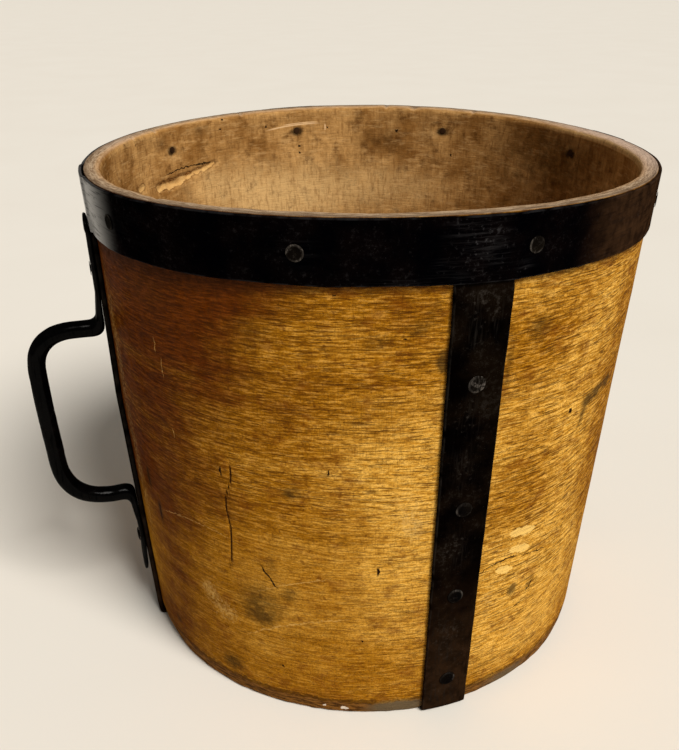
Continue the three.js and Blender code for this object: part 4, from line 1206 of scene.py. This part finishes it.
def rivet_rings(iron, head, seed):
    """Pin turned about its own axis, from the clenched end inside to the head's crown: each ring has
    a radius and a place along the axis. The head is a low dome, lopsided by a slow noise. Its rim comes
    second, rubbed bright in arcs that also stand for painted glints, and the rusty end inside third."""
    radius, height = head
    t = np.linspace(0, np.pi / 2, 7)[1:]
    dome = np.linspace(0, np.pi / 2, 12)[:-1]
    clench, seat = SEAT - WALL, iron + SEAT
    shank = [SHANK_RADIUS, SHANK_RADIUS, radius - HEAD_UNDERCUT]
    spread = np.concatenate([CLENCH_RADIUS * np.sin(t), shank, radius * np.cos(dome) ** 0.8])
    lift = HEAD_EDGE + (height - HEAD_EDGE) * np.sin(dome) ** 1.1
    along = np.concatenate([clench - CLENCH_HEIGHT * np.cos(t), [clench, seat, seat], seat + lift])[:, None]
    turn = np.linspace(0, 2 * np.pi, RIVET_STEPS, endpoint=False)[None, :]
    lobes = mottle(turn / (2 * np.pi), along / 40, (5, 6), seed)
    spread = spread[:, None] * (1 - 0.035 * (1 + lobes))
    on_head = ease(along, seat + 0.1, seat + 0.4)
    tilt = 0.06 * height * np.cos(turn - seed) * on_head * spread / radius
    dent = 0.07 * height * (1 + mottle(turn / (2 * np.pi), spread / 9, (6, 4), seed + 1)) * on_head
    rings = np.stack([spread * np.cos(turn), spread * np.sin(turn), along + tilt - dent], -1)
    # arcs rubbed bright round the rim, which also stand for painted glints of the light
    arcs = ease(mottle(turn / (2 * np.pi), 0, (5, 1), seed + 7), -0.5, 0.5)
    rim = ease(spread, 0.68 * radius, 0.84 * radius) * (1 - 0.8 * ease(spread, 0.9 * radius, radius))
    rim = rim * (along > seat) * (0.15 + 0.85 * arcs)
    rust = (along < 0) * np.ones_like(turn)
    return rings, rim, rust


def seated(points, angle, z):
    """Points moved from the pin's own axis to the wall: their third direction leaves the wood squarely
    at an angle and a height, before the rim went out of true."""
    out = around(angle, math.cos(LEAN), -math.sin(LEAN))
    along = around(angle + 90, 1.0, 0.0)
    upwards = np.cross(out, along)
    return settled(points @ np.stack([along, upwards, out]) + around(angle, wood_radius(z), z))


def band_outside(angle):
    """Distance of the band's outermost face from the wood at an angle, on the lap's outer layer."""
    first = BAND_START + (angle - BAND_START) % 360
    turn = first + 360 if first + 360 <= BAND_END else first
    return float(band_offset(np.array(turn))) + BAND_THICKNESS + GAP - SEAT


rivet_iron = iron_finish(
    "rivet_iron", black=(3, 2, 2), brown=(12, 8, 5), rub_and_glint=(132, 124, 116),
    rub_share=0.5, polish=0.3, relief=0.0005,
)
RIVETS = {
    f"band_rivet_{k + 1}": (angle, BAND_RIVET_HEIGHT, band_outside(angle), BAND_HEAD)
    for k, angle in enumerate(BAND_RIVET_ANGLES)
}
for name in RIVETED_STRAPS:
    for k, z in enumerate(STRAP_RIVET_HEIGHTS):
        RIVETS[f"strap_{name}_rivet_{k + 1}"] = (STRAP_ANGLES[name], z, STRAP_STEP, STRAP_HEAD)
RIVETS["handle_upper_rivet"] = (180.0, UPPER_RIVET_HEIGHT, LEAF_ON_BAND + LEAF_THICKNESS - GAP, BAND_HEAD)
RIVETS["handle_lower_rivet"] = (180.0, LOWER_RIVET_HEIGHT, LEAF_ON_STRAP + LEAF_THICKNESS, STRAP_HEAD)
for number, (name, (angle, z, iron, head)) in enumerate(RIVETS.items()):
    rings, rim, rust = rivet_rings(iron, head, RIVET_SEED + 2 * number)
    scuffed = 0.8 * (name == SCUFFED_RIVET) * (rust == 0)
    # the rim's bright arcs are rubbed iron and painted glints
    layers = {"edge": rim, "rub_and_glint": 1.6 * rim + scuffed, "rust": rust, "coat": 0.02}
    rivet = skin(f"beaten_{name}", seated(rings, angle, z), layers)
    fit(rivet, rivet_iron, name)


# Foot nails: countersunk cut nails that hold each strap's foot to the base board. They stay as they
# are in the frame and only take the rivets' worn iron.

for name in STRAP_ANGLES:
    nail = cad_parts[f"strap_{name}_foot_nail"]
    nail.data.materials.clear()
    nail.data.materials.append(rivet_iron)


# Floor: one flat sheet with a matt pale paint, wide enough to fill every view. It lies a hair below the
# underside of the vessel, so that the two never meet.

FLOOR_SPAN = 60.0
FLOOR_DROP = 0.0002
FLOOR_PAINT = ((238, 234, 226), (233, 228, 219))


def floor_finish():
    """Matt pale paint with the faintest cloudiness."""
    made, tree, shader = material("pale_floor", specular=0.2, roughness=0.7)
    place = own_place(tree)
    tone = paint(cloud(place, 5.0, 3.0), *FLOOR_PAINT)
    feed(shader, {"Base Color": tone})
    return made


corners = np.array([[-1, -1], [1, -1], [1, 1], [-1, 1]]) * FLOOR_SPAN / 2
sheet = bpy.data.meshes.new("floor")
sheet.from_pydata(np.column_stack([corners, np.full(4, -FLOOR_DROP)]).tolist(), [], [[0, 1, 2, 3]])
floor = bpy.data.objects.new("floor", sheet)
bpy.context.scene.collection.objects.link(floor)
floor.data.materials.append(floor_finish())


# Studio light: one broad soft key from the front right, high up, and a dim pale room all round, which
# the camera sees as bright as the floor.

KEY_AZIMUTH = -70.0
KEY_ELEVATION = 48.0
KEY_SPREAD = 25.0
KEY_STRENGTH = 3.6
KEY_TINT = (1.0, 0.96, 0.9)
ROOM_GLOW = 0.2
ROOM_SEEN = 0.66
ROOM_TINT = (246, 240, 230)
key_lamp = bpy.data.lights.new("key", "SUN")
key_lamp.energy = KEY_STRENGTH
key_lamp.angle = math.radians(KEY_SPREAD)
key_lamp.color = KEY_TINT
key = bpy.data.objects.new("key", key_lamp)
from_key = around(KEY_AZIMUTH, math.cos(math.radians(KEY_ELEVATION)), math.sin(math.radians(KEY_ELEVATION)))
key.rotation_euler = Vector(-from_key).to_track_quat("-Z", "Y").to_euler()
bpy.context.scene.collection.objects.link(key)
room = bpy.data.worlds.new("pale_room")
room.use_nodes = True
glow = room.node_tree.nodes["Background"]
glow.inputs["Color"].default_value = shade(*ROOM_TINT)
seen = add(room.node_tree, "ShaderNodeLightPath").outputs["Is Camera Ray"]
feed(glow, {"Strength": scaled(seen, ROOM_SEEN, ROOM_GLOW)})
bpy.context.scene.world = room
bpy.context.scene.view_settings.view_transform = "Standard"


# Camera: where the photograph was taken from, found by fitting the rim, the band and the base. It has
# no shift and no depth of field.

FOCAL_PIXELS = 871.77
LONG_SIDE_PIXELS = 750
FORWARD = (0.272516, 0.864393, -0.422600)
ROLL = -0.0059
STANDPOINT = (-0.1590, -0.4566, 0.3644)
camera_data = bpy.data.cameras.new("camera")
camera_data.sensor_width = 36.0
camera_data.lens = camera_data.sensor_width * FOCAL_PIXELS / LONG_SIDE_PIXELS
camera = bpy.data.objects.new("camera", camera_data)
forward = Vector(FORWARD).normalized()
level_right = forward.cross(Vector((0, 0, 1))).normalized()
level_up = level_right.cross(forward)
right = math.cos(ROLL) * level_right + math.sin(ROLL) * level_up
up = right.cross(forward)
place = Matrix((right, up, -forward)).transposed().to_4x4()
place.translation = STANDPOINT
camera.matrix_world = place
bpy.context.scene.collection.objects.link(camera)
bpy.context.scene.camera = camera
